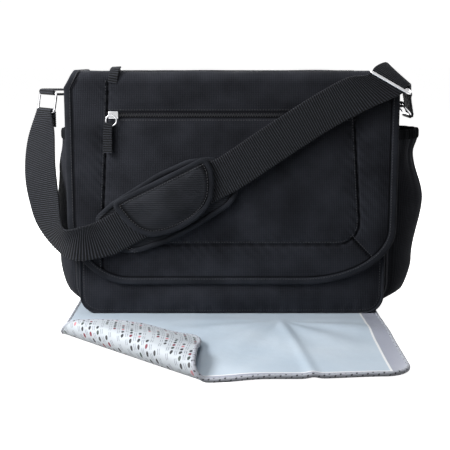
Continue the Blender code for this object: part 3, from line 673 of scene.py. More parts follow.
def distance_to(lines, x, z):
    """How far points are from the nearest of some (x, z) lines."""
    best = np.full(np.shape(x), 1e9)
    for line in lines:
        for (x0, z0), (x1, z1) in zip(line, line[1:]):
            run = max((x1 - x0) ** 2 + (z1 - z0) ** 2, 1e-12)
            share = np.clip(((x - x0) * (x1 - x0) + (z - z0) * (z1 - z0)) / run, 0.0, 1.0)
            gap = np.hypot(x - x0 - share * (x1 - x0), z - z0 - share * (z1 - z0))
            best = np.minimum(best, gap)
    return best


def flap_relief(x, z):
    """How far the flap's front face stands proud of its even thickness."""
    near = seam_distance(x, z, "left", "right", "mitre")
    zips = seam_distance(x, z, "zip_high", "zip_low")
    edge = distance_to([FREE_EDGE], x, z)
    inside = smooth_step((edge - 0.004) / 0.020)
    puff = 0.0020 * (1 - np.exp(-np.minimum(near, edge) / 0.012))
    groove = 0.0016 * line_mark(near, 0.0016) + 0.0008 * line_mark(zips, 0.0018)
    wrinkle = np.sin(2 * math.pi * (x + z) / 0.0135 + 3 * ripple(x, z, 4.0))
    by_edge = np.exp(-np.maximum(edge - 0.008, 0.0) / 0.010)
    pucker = (0.0009 * np.exp(-near / 0.008) + 0.0006 * by_edge) * wrinkle
    sway = 0.0017 * ripple(x * 0.55, z * 0.35, 1.3) + 0.0006 * ripple(x * 1.3, z * 0.8, 3.7)
    pull = 0.0007 * line_mark(z - ZIP_LOW + 0.018, 0.014) * np.sin(2 * math.pi * x / 0.058 + 1.0)
    middle = (ZIP_LOW + ZIP_HIGH) / 2
    by_zip = np.exp(-(((z - middle) / 0.013) ** 4))
    below = smooth_step((ZIP_HIGH + 0.004 - z) / 0.008) * smooth_step((z - ZIP_LOW + 0.060) / 0.020)
    sway = sway * (1 - 0.92 * by_zip) * (1 - 0.45 * below) * inside
    return puff * (1 - 0.5 * by_zip) - groove + (pucker + pull) * (1 - 0.95 * by_zip) * inside + sway


def flap_painted_shade(x, z):
    """Painted shade along the flap's seams, the upper edge of its zip and the inner edge of its binding, 0 to 1.
    """
    seams = line_mark(seam_distance(x, z, "left", "right", "mitre"), 0.0011)
    zip_edge = line_mark(seam_distance(x, z, "zip_high"), 0.0010)
    bound = line_mark(distance_to([FREE_EDGE], x, z) - BINDING_WIDTH + 0.0010, 0.0011)
    return np.clip(0.95 * seams + 0.8 * zip_edge + 0.9 * bound, 0.0, 1.0)


def on_flap(points):
    """(point, outward) rows on the flap's front face at (x, z) points."""
    return [(x, FRONT_Y - FLAP_THICK - flap_relief(x, z), z, 0.0, -1.0, 0.0) for x, z in points]


def make_flap():
    """The flap's cloth as one sheet, from its rear edge over the top and down the front."""
    line = flap_side_line()
    y, z = line[:, 0], line[:, 1]
    left = flap_half(z, y, LEFT_CORNER)
    right = flap_half(z, y, RIGHT_CORNER)
    share = np.linspace(0.0, 1.0, 341)
    x = -left[:, None] + (left + right)[:, None] * share
    grid = stacked(x, y[:, None], z[:, None])
    heights = grid[..., 2]
    run = lengths_along(line)
    on_front = smooth_step((BEND_Z + 0.010 - z) / 0.012)[:, None] * (y < BEND_Y)[:, None]
    relief = flap_relief(x, heights) * on_front
    top = (1 - on_front) * 0.0009 * ripple(x * 0.8, run[:, None] * 0.8, 2.0)
    # painted shade along the seams, for the shell material to darken
    painted_seam_shade = flap_painted_shade(x, heights) * on_front
    front, back, uv = FLAP_THICK + relief + top, FLAP_THICK, stacked(x, run[:, None])
    flap = sheet_mesh("flap_cloth", grid, front, back, uv, "shell", "lining", crease=painted_seam_shade)
    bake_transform(flap)
    bands = ("flap_left_band", "flap_right_band", "flap_bottom_band")
    panels = ("zip_pocket_panel", "flap_upper_band", "flap_top_panel")
    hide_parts("flap_root", "flap_lining", *bands, *panels)
    make_flap_binding()
    seams = seam_lines()
    beside = (("left", 0.003), ("right", -0.003), ("mitre", 0.002))
    lines = [offset_line(seams[key], shift) for key, shift in beside]
    for height in (ZIP_HIGH + 0.0032, ZIP_LOW - 0.0032):
        lines.append([(x, height) for x in np.linspace(SEAM_LEFT + 0.012, SEAM_RIGHT - 0.002, 40)])
    stitches("flap_stitches", [on_flap(line) for line in lines], "flap")


def offset_line(line, shift, gap=0.006):
    """A line beside another in (x, z), to its left by shift."""
    line = even(line, gap)
    way = np.gradient(line, axis=0)
    way /= np.linalg.norm(way, axis=1, keepdims=True)
    return line + shift * stacked(-way[:, 1], way[:, 0])


def flap_corner(sign, corner, start):
    """Rows of flap_outline round one of the flap's lower corners."""
    wide, tall = corner
    made = []
    for turn in np.radians(np.linspace(start + 2, start + 88, 40)):
        x = sign * (FLAP_HALF - wide) + wide * math.cos(turn)
        z = FLAP_BOTTOM + tall + tall * math.sin(turn)
        inward = (-math.cos(turn) / wide, 0.0, -math.sin(turn) / tall)
        made.append((x, FRONT_Y, z, *inward, 0.0, -1.0, 0.0))
    return made


def flap_outline():
    """Points round the flap's free edge with the step into the cloth and the outward step at each."""
    top_y = np.linspace(HINGE.y - 0.022, BEND_Y, 24)
    sides = []
    for sign, corner in ((-1, LEFT_CORNER), (1, RIGHT_CORNER)):
        inward = (-sign, 0.0, 0.0)
        rows = [(sign * FLAP_TOP_HALF, y, FLAP_TOP - FLAP_THICK, *inward, 0.0, 0.0, 1.0) for y in top_y]
        for turn in np.radians(np.linspace(95, 180, 12)):
            y, z = BEND_Y + BEND * math.cos(turn), BEND_Z + BEND * math.sin(turn)
            half = flap_half(z, y - 1e-4, corner)
            rows.append((sign * half, y, z, *inward, 0.0, math.cos(turn), math.sin(turn)))
        for z in np.linspace(BEND_Z - 0.004, FLAP_BOTTOM + corner[1], 60):
            half = flap_half(z, FRONT_Y, corner)
            rows.append((sign * half, FRONT_Y, z, *inward, 0.0, -1.0, 0.0))
        sides.append(rows)
    foot = np.linspace(-FLAP_HALF + LEFT_CORNER[0], FLAP_HALF - RIGHT_CORNER[0], 60)
    rows = sides[0] + flap_corner(-1, LEFT_CORNER, 180)
    rows += [(x, FRONT_Y, FLAP_BOTTOM, 0.0, 0.0, 1.0, 0.0, -1.0, 0.0) for x in foot]
    rows += flap_corner(1, RIGHT_CORNER, 270) + sides[1][::-1]
    return np.array(rows)


FREE_EDGE = np.array([row[[0, 2]] for row in flap_outline() if abs(row[1] - FRONT_Y) < 0.002][::3])


def make_flap_binding():
    """The tape folded over the flap's edge, slightly wavy, and its row of stitches."""
    rows = flap_outline()
    edge, inward, outward = rows[:, :3], rows[:, 3:6], rows[:, 6:9]
    inward = inward / np.linalg.norm(inward, axis=1, keepdims=True)
    run = lengths_along(edge)
    wave = 0.00035 * np.sin(run / 0.0021 + 2 * np.sin(run / 0.013))
    centres = edge + inward * (BINDING_WIDTH / 2 - 0.0016) + outward * (0.0003 + wave * 0.4)[:, None]
    profile = oval(BINDING_WIDTH / 2, 0.0032, 3.4, 20)
    binding = sweep("flap_edge_binding", centres, inward, outward, profile, "binding")
    dress(binding, "flap", "binding_tape", "flap_binding")
    line = edge + inward * (BINDING_WIDTH - 0.0036) + outward * 0.0033
    stitches("binding_stitches", [np.concatenate([line, outward], axis=1)], "flap")


# -------------------------------------------------------------------- zips
COIL_PITCH = 0.00155
TOOTH = Vector((0.00055, 0.0013, 0.0008))  # half long, half wide and tall


def make_zip(name, start, end, across, out, cad):
    """A coil zip on the flap: tape and a row of interlocked teeth."""
    start, end, across, out = (np.array(v, float) for v in (start, end, across, out))
    way = (end - start) / np.linalg.norm(end - start)
    line = even([start, end], 0.004)
    one, other = (np.broadcast_to(v, line.shape) for v in (across, out))
    tape = sweep(f"{name}_tape_cloth", line, one, other, oval(0.0033, 0.0004, 6, 12), "zip")
    dress(tape, "flap", "zip_tape", cad)
    vertices = []
    faces = []
    for i, centre in enumerate(even([start, end], COIL_PITCH)[1:-1]):
        side = 1 if i % 2 else -1
        middle = centre + across * 0.0006 * side + out * 0.0006
        first = len(vertices)
        for level, long, wide in ((0, 1.0, 1.0), (1, 0.6, 0.8)):
            for a, b in ((-1, -1), (1, -1), (1, 1), (-1, 1)):
                spot = middle + way * a * long * TOOTH.x + across * b * wide * TOOTH.y
                vertices.append(spot + out * (level * TOOTH.z - 0.0003))
        for face in ((3, 2, 1, 0), (4, 5, 6, 7), (0, 1, 5, 4), (1, 2, 6, 5), (2, 3, 7, 6), (3, 0, 4, 7)):
            faces.append(tuple(first + k for k in face))
    teeth = put(f"{name}_teeth", vertices, faces, np.zeros((len(vertices), 2)), "teeth")
    tidy_normals(teeth)
    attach(teeth, "flap")


def make_slider(side):
    """A zip's slider as a metal box with softened edges."""
    node = f"{side}_zip_slider"
    corners = list(itertools.product(*zip(*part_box(node))))
    faces = [(0, 1, 3, 2), (4, 6, 7, 5), (0, 4, 5, 1), (2, 3, 7, 6), (0, 2, 6, 4), (1, 5, 7, 3)]
    obj = put(f"{side}_slider_body", corners, faces, [(c[0], c[2]) for c in corners], "metal")
    soften = obj.modifiers.new("Soften", "BEVEL")
    soften.width = 0.0008
    soften.segments = 3
    dress(obj, f"{side}_slider", "metal", node)


def make_pull(side, line, half):
    """The short ribbed tape that hangs from a slider along a line."""
    line = even(smooth_line(line, 24), 0.0005)
    centres, one, _ = frames_along(line, (1.0, 0.0, 0.05))
    edges = (centres - one * half, centres + one * half)
    pull = ribbon_mesh(f"{side}_pull_tape", *edges, 0.0011, 0.0022, 0.00022, 10)
    dress(pull, f"{side}_pull", "webbing", f"{side}_zip_pull")


def make_zips():
    """The two zips with their sliders, the front one's ring and the pulls."""
    y, z = FLAP_FACE - 0.0004, (ZIP_LOW + ZIP_HIGH) / 2
    start, end = (SEAM_LEFT + 0.008, y, z), (SEAM_RIGHT, y, z)
    make_zip("front_zip", start, end, (0, 0, 1), (0, -1, 0), "front_zip_tape")
    tape_low, tape_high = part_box("top_zip_tape")
    y, z = (tape_low.y + tape_high.y) / 2, FLAP_TOP + 0.0004
    make_zip("top_zip", (tape_low.x, y, z), (tape_high.x, y, z), (0, 1, 0), (0, 0, 1), "top_zip_tape")
    make_slider("front")
    low_ring, high_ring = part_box("front_pull_ring")
    middle = (low_ring + high_ring) / 2
    radius = (high_ring.x - low_ring.x) / 2 - 0.0007
    turns = np.radians(np.arange(0, 360, 10))
    line = [(middle.x + radius * math.cos(t), middle.y, middle.z + radius * math.sin(t)) for t in turns]
    wire = cord_like("front_pull_wire", line, 0.0008, "metal", closed=True)
    dress(wire, "front_pull", "metal", "front_pull_ring")
    a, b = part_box("front_zip_pull")
    x, y = (a.x + b.x) / 2, (a.y + b.y) / 2
    line = [(x + 0.0012, y, middle.z - radius + 0.004), (x, y, b.z - 0.004), (x - 0.0004, y - 0.001, a.z)]
    make_pull("front", line, (b.x - a.x) / 2)
    make_slider("top")
    a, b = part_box("top_zip_pull")
    x = (a.x + b.x) / 2
    line = [
        (x, b.y - 0.001, b.z - 0.001),
        (x, b.y - 0.011, b.z - 0.0015),
        (x - 0.001, a.y + 0.005, b.z - 0.004),
        (x - 0.002, a.y + 0.0010, b.z - 0.011),
        (x - 0.0035, a.y + 0.0010, a.z),
    ]
    make_pull("top", line, (b.x - a.x) / 2 - 0.001)


# ----------------------------------------------------------------- webbing
def ribbon_mesh(name, edge_a, edge_b, half_thick, pitch, rib, columns=16):
    """A ribbed band between two edge lines whose rows are already close together."""
    share = np.linspace(0.0, 1.0, columns)
    turn = np.cos(math.pi * share)
    share = 0.5 - 0.5 * turn * (0.25 + 0.75 * np.abs(turn) ** 0.15)
    share = (share - share[0]) / (share[-1] - share[0])
    grid = edge_a[:, None] * (1 - share)[:, None] + edge_b[:, None] * share[:, None]
    run = lengths_along((edge_a + edge_b) / 2)
    ribs = rib * (0.5 - 0.5 * np.cos(2 * math.pi * run / pitch))
    taper = np.ones(columns)
    taper[0] = taper[-1] = 0.55
    thick = (half_thick + ribs[:, None]) * taper
    width = np.linalg.norm(edge_b - edge_a, axis=1)
    uv = stacked(width[:, None] * share, run[:, None])
    return sheet_mesh(name, grid, thick, thick, uv, "webbing")


def webbing(name, stations, cad, half_thick=0.0009, pitch=0.0029, rib=0.0007):
    """A length of the strap's webbing through (edge, edge) stations."""
    both = np.array([[*a, *b] for a, b in stations], float)
    both = smooth_line(both, 14)
    run = lengths_along((both[:, :3] + both[:, 3:]) / 2)
    there = np.arange(0.0, run[-1], pitch / 5)
    both = interpolated(both, run, there)
    band = ribbon_mesh(name, both[:, :3], both[:, 3:], half_thick, pitch, rib)
    dress(band, "strap", "webbing", cad)


WEB_HALF = 0.023
WIRE = 0.0016
ROUND_WIRE = WIRE + 0.0014  # how far from a wire's middle the webbing bends round it
BAR_Y = HINGE.y - BODY_FRONT
LEFT_TOP_BAR = at(-0.2430, BAR_Y, 0.2775)
LEFT_LOW_BAR = at(-0.2470, BAR_Y, 0.2520)
LEFT_DIR = Vector((-0.55, 0.835, 0.0)).normalized()
LEFT_OUT = Vector((-LEFT_DIR.y, LEFT_DIR.x, 0.0))
RIGHT_TAB_BAR = at(0.2230, BAR_Y, 0.2620)
RIGHT_WEB_BAR = at(0.2345, BAR_Y, 0.2485)
RIGHT_DIR = Vector((0.0, 1.0, 0.0))
RIGHT_OUT = Vector((1.0, 0.0, 0.0))
RING_HALF = 0.027  # half the length of a ring, and of the slide, along its wire's middle


def wrap(bar, way, outward, start, end):
    """Edge pairs that turn about a bar, from one angle to another in degrees."""
    made = []
    for turn in np.radians(np.linspace(start, end, 10)):
        shift = outward * (ROUND_WIRE * math.cos(turn)) + Vector((0.0, 0.0, ROUND_WIRE * math.sin(turn)))
        made.append((bar - way * WEB_HALF + shift, bar + way * WEB_HALF + shift))
    return made


def round_rectangle(centre, one, other, half, corner, steps):
    """Points round a rectangle with round corners: a ring's length along one axis, 2 * half along other."""
    points = []
    for a, b, start in ((1, 1, 0), (-1, 1, 90), (-1, -1, 180), (1, -1, 270)):
        for turn in np.radians(np.linspace(start, start + 90, steps)):
            u = a * (RING_HALF - corner) + corner * math.cos(turn)
            v = b * (half - corner) + corner * math.sin(turn)
            points.append(tuple(centre + one * u + other * v))
    return points


def ring(name, one, other, way, cad):
    """A rectangular wire ring with round corners, between the middles of its two long bars."""
    up = (one - other).normalized()
    half = (one - other).length / 2
    points = round_rectangle((one + other) / 2, way, up, half, min(0.006, half * 0.95), 8)
    made = cord_like(name, points, WIRE, "metal", hint=tuple(way.cross(up)), closed=True, count=14)
    dress(made, "strap", "metal", cad)


def make_tab(side, sign, bar, way, outward):
    """The folded loop of webbing that holds a ring."""
    x = sign * (BODY_HALF + 0.0032)
    upper, lower = (
        [Vector((x, y, z)) for y in (HINGE.y - WEB_HALF, HINGE.y + WEB_HALF)]
        for z in (bar.z + ROUND_WIRE, bar.z - ROUND_WIRE)
    )
    stations = [upper, *wrap(bar, way, outward, 90, -90), lower]
    webbing(f"{side}_tab_loop", stations, f"{side}_ring_tab", half_thick=0.0007, pitch=0.0024, rib=0.0003)


PAD_CENTRE = at(-0.0805, 0.0, 0.143)
PAD_ALONG = Vector((0.885, 0.0, 0.466)).normalized()
PAD_ACROSS = Vector((-PAD_ALONG.z, 0.0, PAD_ALONG.x))
WEB_Y = FLAP_FACE - 0.0105


def along_pad(u, rise=0.0):
    """The webbing's two edges inside the pad, or near it, at a place along the strap."""
    middle = PAD_CENTRE + PAD_ALONG * u
    middle.y = WEB_Y - rise
    return middle + PAD_ACROSS * WEB_HALF, middle - PAD_ACROSS * WEB_HALF


def make_strap():
    """The rings, their tabs and the webbing, whose stations are listed."""
    ring("left_ring_wire", LEFT_TOP_BAR, LEFT_LOW_BAR, LEFT_DIR, "left_ring")
    ring("right_ring_wire", RIGHT_TAB_BAR, RIGHT_WEB_BAR, RIGHT_DIR, "right_ring")
    make_tab("left", -1, LEFT_TOP_BAR, LEFT_DIR, LEFT_OUT)
    make_tab("right", 1, RIGHT_TAB_BAR, RIGHT_DIR, RIGHT_OUT)
    turn = wrap(LEFT_LOW_BAR, LEFT_DIR, LEFT_OUT, 180, 0)
    drop = Vector((0.0, 0.0, -0.020))
    tail = (turn[0][0] + drop, turn[0][1] + drop)
    fall = [
        (at(-0.2310, 0.0610, 0.2290), at(-0.2715, 0.0950, 0.2160)),
        (at(-0.2255, 0.0310, 0.1890), at(-0.2690, 0.0550, 0.1740)),
        (at(-0.2165, -0.0010, 0.1470), at(-0.2570, 0.0210, 0.1390)),
        (at(-0.2110, -0.0230, 0.1220), at(-0.2440, 0.0050, 0.1120)),
        (at(-0.2030, -0.0370, 0.1150), at(-0.2210, -0.0070, 0.0860)),
        (at(-0.1870, -0.0380, 0.1180), at(-0.1940, -0.0320, 0.0760)),
        along_pad(-0.0860, 0.0006),
        along_pad(-0.0700),
        along_pad(-0.0005),
    ]
    webbing("left_strap", [tail, *turn, *fall], "left_webbing")
    turn = wrap(RIGHT_WEB_BAR, RIGHT_DIR, RIGHT_OUT, 20, -150)
    rise = [
        along_pad(0.0005),
        along_pad(0.0700),
        along_pad(0.0880),
        (at(0.0395, -0.0295, 0.2400), at(0.0645, -0.0295, 0.2015)),
        (at(0.1060, -0.0290, 0.2820), at(0.1275, -0.0290, 0.2420)),
        (at(0.1390, -0.0290, 0.2990), at(0.1690, -0.0290, 0.2635)),
        *AT_ADJUSTER,
        (at(0.1990, 0.0310, 0.3100), at(0.2215, 0.0090, 0.2800)),
        (at(0.2130, 0.0650, 0.2990), at(0.2260, 0.0270, 0.2750)),
        (at(0.2270, 0.0990, 0.2830), at(0.2305, 0.0550, 0.2690)),
    ]
    webbing("right_strap", [*rise, *[(b, a) for a, b in turn]], "right_webbing")
    make_adjuster()


AT_ADJUSTER = (
    (at(0.1640, -0.0295, 0.3030), at(0.2046, -0.0295, 0.2802)),
    (at(0.1710, -0.0220, 0.3105), at(0.2095, -0.0240, 0.2872)),
    (at(0.1860, -0.0010, 0.3160), at(0.2165, -0.0130, 0.2895)),
)


SLIDE_HALF = 0.0085


def make_adjuster():
    """The wire slide that sets the strap's length, and its crossbar."""
    (upper, lower), _, after = AT_ADJUSTER
    along = (lower - upper).normalized()
    middle = (upper + lower) / 2
    after = (after[0] + after[1]) / 2
    across = after - middle
    across = (across - along * across.dot(along)).normalized()
    out = across.cross(along).normalized()
    out = -out if out.z < 0 else out
    front = middle.lerp(after, 0.35) + out * 0.0066 - across * SLIDE_HALF - Vector((0.002, 0.001, 0.0025))
    across = Vector((across.x * 0.6, across.y, across.z * 0.25)).normalized()
    centre = front + across * SLIDE_HALF
    points = round_rectangle(centre, along, across, SLIDE_HALF, 0.005, 7)
    line = frames_along(points, tuple(out), True)
    slide = sweep("adjuster_slide", *line, oval(0.0011, 0.0020, 4, 16), "metal", True)
    dress(slide, "strap", "metal", "adjuster_frame")
    ends = even([centre - along * 0.0262, centre + along * 0.0262], 0.002)
    bar = sweep("adjuster_crossbar", *frames_along(ends, tuple(out)), oval(0.0010, 0.0019, 4, 16), "metal")
    dress(bar, "strap", "metal", "adjuster_bar")


# ------------------------------------------------------------ shoulder pad
PAD_BASE = (  # outline of the pad's base, along and across the strap
    (0.0880, -0.0050), (0.0860, 0.0150), (0.0765, 0.0270), (0.0500, 0.0370), (0.0090, 0.0395),
    (-0.0600, 0.0340), (-0.0850, 0.0270), (-0.0870, 0.0080), (-0.0850, -0.0120), (-0.0755, -0.0260),
    (-0.0577, -0.0345), (-0.0200, -0.0405), (0.0216, -0.0400), (0.0690, -0.0360), (0.0850, -0.0270),
)
PAD_PANEL = (  # outline of the D-shaped panel sewn on the base over the strap
    (0.0660, 0.0140), (0.0670, 0.0270), (-0.0520, 0.0300), (-0.0475, 0.0050), (-0.0410, -0.0100),
    (-0.0300, -0.0205), (-0.0150, -0.0250), (0.0050, -0.0275), (0.0220, -0.0265), (0.0400, -0.0215),
    (0.0520, -0.0130), (0.0610, 0.0010),
)


def closed_line(corners, rounding, gap=0.0015):
    """An outline with even points, its corners rounded by a radius."""
    line = even(corners, 0.0005, True)
    reach = max(1, int(rounding / 0.0005))
    weights = np.hanning(2 * reach + 3)[1:-1]
    around = np.concatenate([line[-reach:], line, line[:reach]])
    line = stacked(*(np.convolve(column, weights / weights.sum(), "valid") for column in around.T))
    return even(line, gap, True)


def moved(line, width):
    """A closed (u, v) line moved outwards by a width, or inwards where it is negative."""
    way = np.roll(line, -1, axis=0) - np.roll(line, 1, axis=0)
    way /= np.linalg.norm(way, axis=1, keepdims=True)
    out = stacked(way[:, 1], -way[:, 0])
    after = np.roll(line, -1, axis=0)
    turning = np.sum(line[:, 0] * after[:, 1] - after[:, 0] * line[:, 1])
    return line + out * (width if turning > 0 else -width)


def cushion(name, outline, front, back, seam, lift):
    """A crowned closed form on an outline. front and back hold (step in from the rim, height) rows.

    Steps over 3 mm shrink the outline towards its middle. The front row at the seam's height takes painted shade."""
    middle = outline.mean(axis=0)
    size = np.linalg.norm(outline - middle, axis=1).min()
    rings = []
    for profile, is_front in ((front[::-1], True), (back, False)):
        for inset, height in profile:
            near = moved(outline, -min(inset, 0.003))
            line = middle + (near - middle) * (1 - max(0.0, inset - 0.003) / size)
            rings.append((line, height, is_front))
    vertices, uvs, painted_seam_shade = [], [], []
    for line, height, is_front in rings:
        for u, v in line:
            vertices.append(pad_point(u, v, height + lift(u, v, is_front)))
            uvs.append((u * PAD_ALONG.z + v * PAD_ALONG.x, u * PAD_ALONG.x - v * PAD_ALONG.z))
            # painted shade on the front row at the seam
            painted_seam_shade.append(is_front and abs(height - seam) < 1e-6)
    columns = len(outline)
    faces = quads(0, len(rings), columns, False, True)
    faces.append(tuple(range(columns))[::-1])
    faces.append(tuple(range((len(rings) - 1) * columns, len(rings) * columns)))
    obj = put(name, vertices, faces, uvs, "pad", crease=np.array(painted_seam_shade, float))
    tidy_normals(obj)
    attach(obj, "shoulder_pad")
    return obj


def pad_point(u, v, height):
    """A point by its place along and across the strap and its height off the flap."""
    point = PAD_CENTRE + PAD_ALONG * u + PAD_ACROSS * v
    return (point.x, FLAP_FACE - height, point.z)


def pad_tape(name, line, heights, half_a, half_b, node):
    """A bound edge: a soft flat tape along a (u, v) line."""
    points = np.array([pad_point(u, v, h) for (u, v), h in zip(line, heights)])
    line = frames_along(points, (0, -1, 0), True)
    tape = sweep(name, *line, oval(half_b, half_a, 2.6, 18), "binding", True)
    dress(tape, "shoulder_pad", "binding_tape", node)


def over_strap(v):
    """1 where the webbing lies under the panel and 0 beside it."""
    return smooth_step((0.0310 - abs(v)) / 0.005)


def make_shoulder_pad():
    """The pad's base and the panel over the strap, both padded, with their bound edges."""
    base = closed_line(PAD_BASE, 0.010)
    front = [(0.0, 0.0068), (0.0008, 0.0078), (0.0022, 0.0084), (0.0036, 0.0085), (0.0060, 0.0086)]
    front += [(0.0100, 0.0087), (0.030, 0.0089)]
    back = [(0.0008, 0.0060), (0.0025, 0.0052), (0.0080, 0.0049), (0.030, 0.0048)]

    def soft_base(u, v, is_front):
        return -0.0004 * (1 - ripple(u * 2.2, v * 2.2, 5.0)) if is_front else 0.0

    pad = cushion("pad_cushion", moved(base, -0.0010), front, back, 0.0085, soft_base)
    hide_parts("shoulder_pad")
    rim = moved(base, -0.0022)
    heights = [0.0071 - 0.0022 * over_strap(v) for u, v in rim]
    pad_tape("pad_base_binding", rim, heights, 0.0033, 0.0022, "pad_edge_tape")
    panel = closed_line(PAD_PANEL, 0.006)
    front = [(0.0, 0.0118), (0.0008, 0.0136), (0.0022, 0.0152), (0.0050, 0.0166), (0.0078, 0.0172)]
    front += [(0.0088, 0.0174), (0.0110, 0.0186), (0.0150, 0.0198), (0.0210, 0.0206), (0.0260, 0.0208)]
    back = [(0.0008, 0.0108), (0.0260, 0.0104)]

    def soft_panel(u, v, is_front):
        return 0.0007 * ripple(u * 1.6, v * 1.6, 8.0) if is_front else 0.0021

    face = cushion("pad_raised_panel", moved(panel, 0.0050), front, back, 0.0166, soft_panel)
    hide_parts("pad_face_panel")
    rim = moved(panel, 0.0020)
    pad_tape("pad_panel_binding", rim, np.full(len(rim), 0.0151), 0.0036, 0.0019, "pad_piping")
    lines = [(moved(panel, -0.0022), 0.0182)]
    for shift in (0.0, 0.0030):
        lines.append((np.linspace((-0.0750 + shift, -0.0125), (-0.0620 + shift, -0.0330), 8), 0.0089))
    rows = [[(*pad_point(u, v, height), 0.0, -1.0, 0.0) for u, v in line] for line, height in lines]
    stitches("pad_stitches", rows, "shoulder_pad")


# -------------------------------------------------------------------- body
BASE_CORNER = 0.035
SECTION_CORNER = 0.012


def section(half, front, back, corner=SECTION_CORNER, across=40, deep=20, turn=6):
    """A rounded rectangle in (x, y), anticlockwise from above, starting on the front's left."""
    points = []
    sides = (
        ((-half + corner, front), (half - corner, front), across),
        ((half, front + corner), (half, back - corner), deep),
        ((half - corner, back), (-half + corner, back), across),
        ((-half, back - corner), (-half, front + corner), deep),
    )
    centres = (
        (half - corner, front + corner, -90),
        (half - corner, back - corner, 0),
        (-half + corner, back - corner, 90),
        (-half + corner, front + corner, 180),
    )
    for (start, end, count), (cx, cy, angle) in zip(sides, centres):
        for i in range(count):
            points.append([a + (b - a) * i / count for a, b in zip(start, end)])
        for i in range(turn):
            t = math.radians(angle + 90 * i / turn)
            points.append((cx + corner * math.cos(t), cy + corner * math.sin(t)))
    return np.array(points)


def base_half(z):
    """Half the body's width at a height: its bottom corners are round."""
    rise = max(0.0, BASE_CORNER - (z - BODY_BASE))
    return BODY_HALF - (BASE_CORNER - math.sqrt(max(0.0, BASE_CORNER**2 - rise**2)))


def shell_row(z, shrink):
    """A level row of the body's middle surface, drawn in by shrink."""
    half = base_half(max(z, BODY_BASE + 0.0006)) - 0.001 - shrink
    front = BODY_FRONT + 0.001 + shrink
    back = BODY_BACK - 0.001 - shrink
    points = section(half, front, back)
    x, y = points[:, 0], points[:, 1]
    share = np.clip((z - BODY_BASE) / (BODY_TOP - BODY_BASE), 0.0, 1.0)
    full = math.sin(math.pi * share) ** 0.7 if share > 0 else 0.0
    middle = (front + back) / 2
    away = (y - middle) / (back - middle)
    behind = (y > middle) * np.clip(1 - (x / half) ** 2, 0, 1) * np.clip(away, 0, 1) ** 4
    side = np.clip(np.abs(x) / half, 0, 1) ** 8 * np.clip(1 - away**2, 0, 1)
    waist = -0.0006 * line_mark(share - 0.80, 0.13) + 0.0020 * line_mark(share - 0.35, 0.3)
    wrinkle = ripple(x * 0.9 + 0.4 * y, z * 0.9 + 0.5 * y, 6.0)
    y = y + behind * (0.0035 * full + 0.0012 * wrinkle * full)
    x = x + np.sign(x) * side * (waist + 0.0009 * wrinkle * full)
    return stacked(x, y, z)


def make_body():
    """The shell of the bag, its cords, its lining and the tape round its mouth."""
    levels = [(BODY_BASE + 0.0012, shrink) for shrink in (0.060, 0.030, 0.012, 0.0055)]
    foot = ((0.0018, 0.0032), (0.0030, 0.0014), (0.0048, 0.0004))
    levels += [(BODY_BASE + rise, shrink) for rise, shrink in foot]
    levels += [(BODY_BASE + BASE_CORNER * (1 - math.cos(t)), 0.0) for t in np.radians(np.linspace(36, 90, 9))]
    levels += [(z, 0.0) for z in np.linspace(BODY_BASE + BASE_CORNER, BODY_TOP - 0.003, 60)[1:]]
    rows = np.array([shell_row(*level) for level in levels])
    uv = stacked(lengths_along(rows[FULL_ROW]), rows[:, :, 2])
    shell = sheet_mesh("bag_shell", rows[::-1], 0.0010, 0.0010, uv[::-1], "shell", around=True)
    sides = ("front_panel", "back_panel", "left_gusset", "right_gusset", "base_panel")
    dress(shell, "bag", "shell_fabric", *sides)
    make_body_cords(rows)
    make_lining(rows)
    line = section(BODY_HALF - 0.0022, BODY_FRONT + 0.0022, BODY_BACK - 0.0032)
    line = frames_along([(x, y, BODY_TOP - 0.0026) for x, y in line], (0, 0, 1), True)
    rim = sweep("mouth_edge_tape", *line, oval(0.0026, 0.0021, 3, 12), "binding", True)
    dress(rim, "bag", "binding_tape", "mouth_binding")


CORDS = (  # node, its points in a row of the shell on the right and on the left, front or back
    ("front_body_piping", 43, 141, -1),
    ("back_body_piping", 69, 115, 1),
)
BACK_POINTS = slice(66, 118)  # a row's points along the back
STRAIGHT_ROW = 16  # the first row of the shell above its round bottom corners
FULL_ROW = 20  # a row that is as wide as the bag


def make_body_cords(rows):
    """A cord round the front and the back of the body, along its sides and under its base."""
    for name, spot, mirror, side in CORDS:
        seam = BODY_FRONT if side < 0 else BODY_BACK
        tall = [row for row in rows[STRAIGHT_ROW:] if side < 0 or row[spot][2] < BODY_TOP - 0.040]
        upright = [row[spot] for row in tall]
        across = [row[mirror] for row in tall]
        corner = []
        inset = BODY_HALF - upright[0][0]
        for turn in np.linspace(0.0, 90.0, 19)[1:]:
            share = smooth_step(turn / 90)
            radius = BASE_CORNER - inset - (0.0016 - inset) * share
            x = BODY_HALF - BASE_CORNER + radius * math.cos(math.radians(turn))
            z = BODY_BASE + BASE_CORNER - radius * math.sin(math.radians(turn))
            y = upright[0][1] + (seam - side * 0.0010 - upright[0][1]) * share
            corner.append((x, y, z))
        other = [(-x, y, z) for x, y, z in corner]
        line = even(np.array([*across[::-1], *other, *corner[::-1], *upright]), 0.004)
        piping = cord_like(f"{name[:-7]}_cord", line, 0.0017, "binding")
        dress(piping, "bag", "binding_tape", name)
    lines = []
    for shift in (0.0, 0.0030):
        for x in (-0.128 - shift, 0.128 + shift):
            lines.append([back_point(x, z) for z in np.linspace(BODY_TOP - 0.012, BODY_BASE + 0.010, 90)])
        lines.append([back_point(x, BODY_BASE + 0.040 + shift) for x in np.linspace(-0.124, 0.124, 90)])
    stitches("back_stitches", lines, "bag")


def back_point(x, z):
    """(point, outward) on the body's back."""
    row = shell_row(z, 0.0)[BACK_POINTS]
    order = np.argsort(row[:, 0])
    return (x, float(np.interp(x, row[order, 0], row[order, 1])) + 0.0010, z, 0.0, 1.0, 0.0)


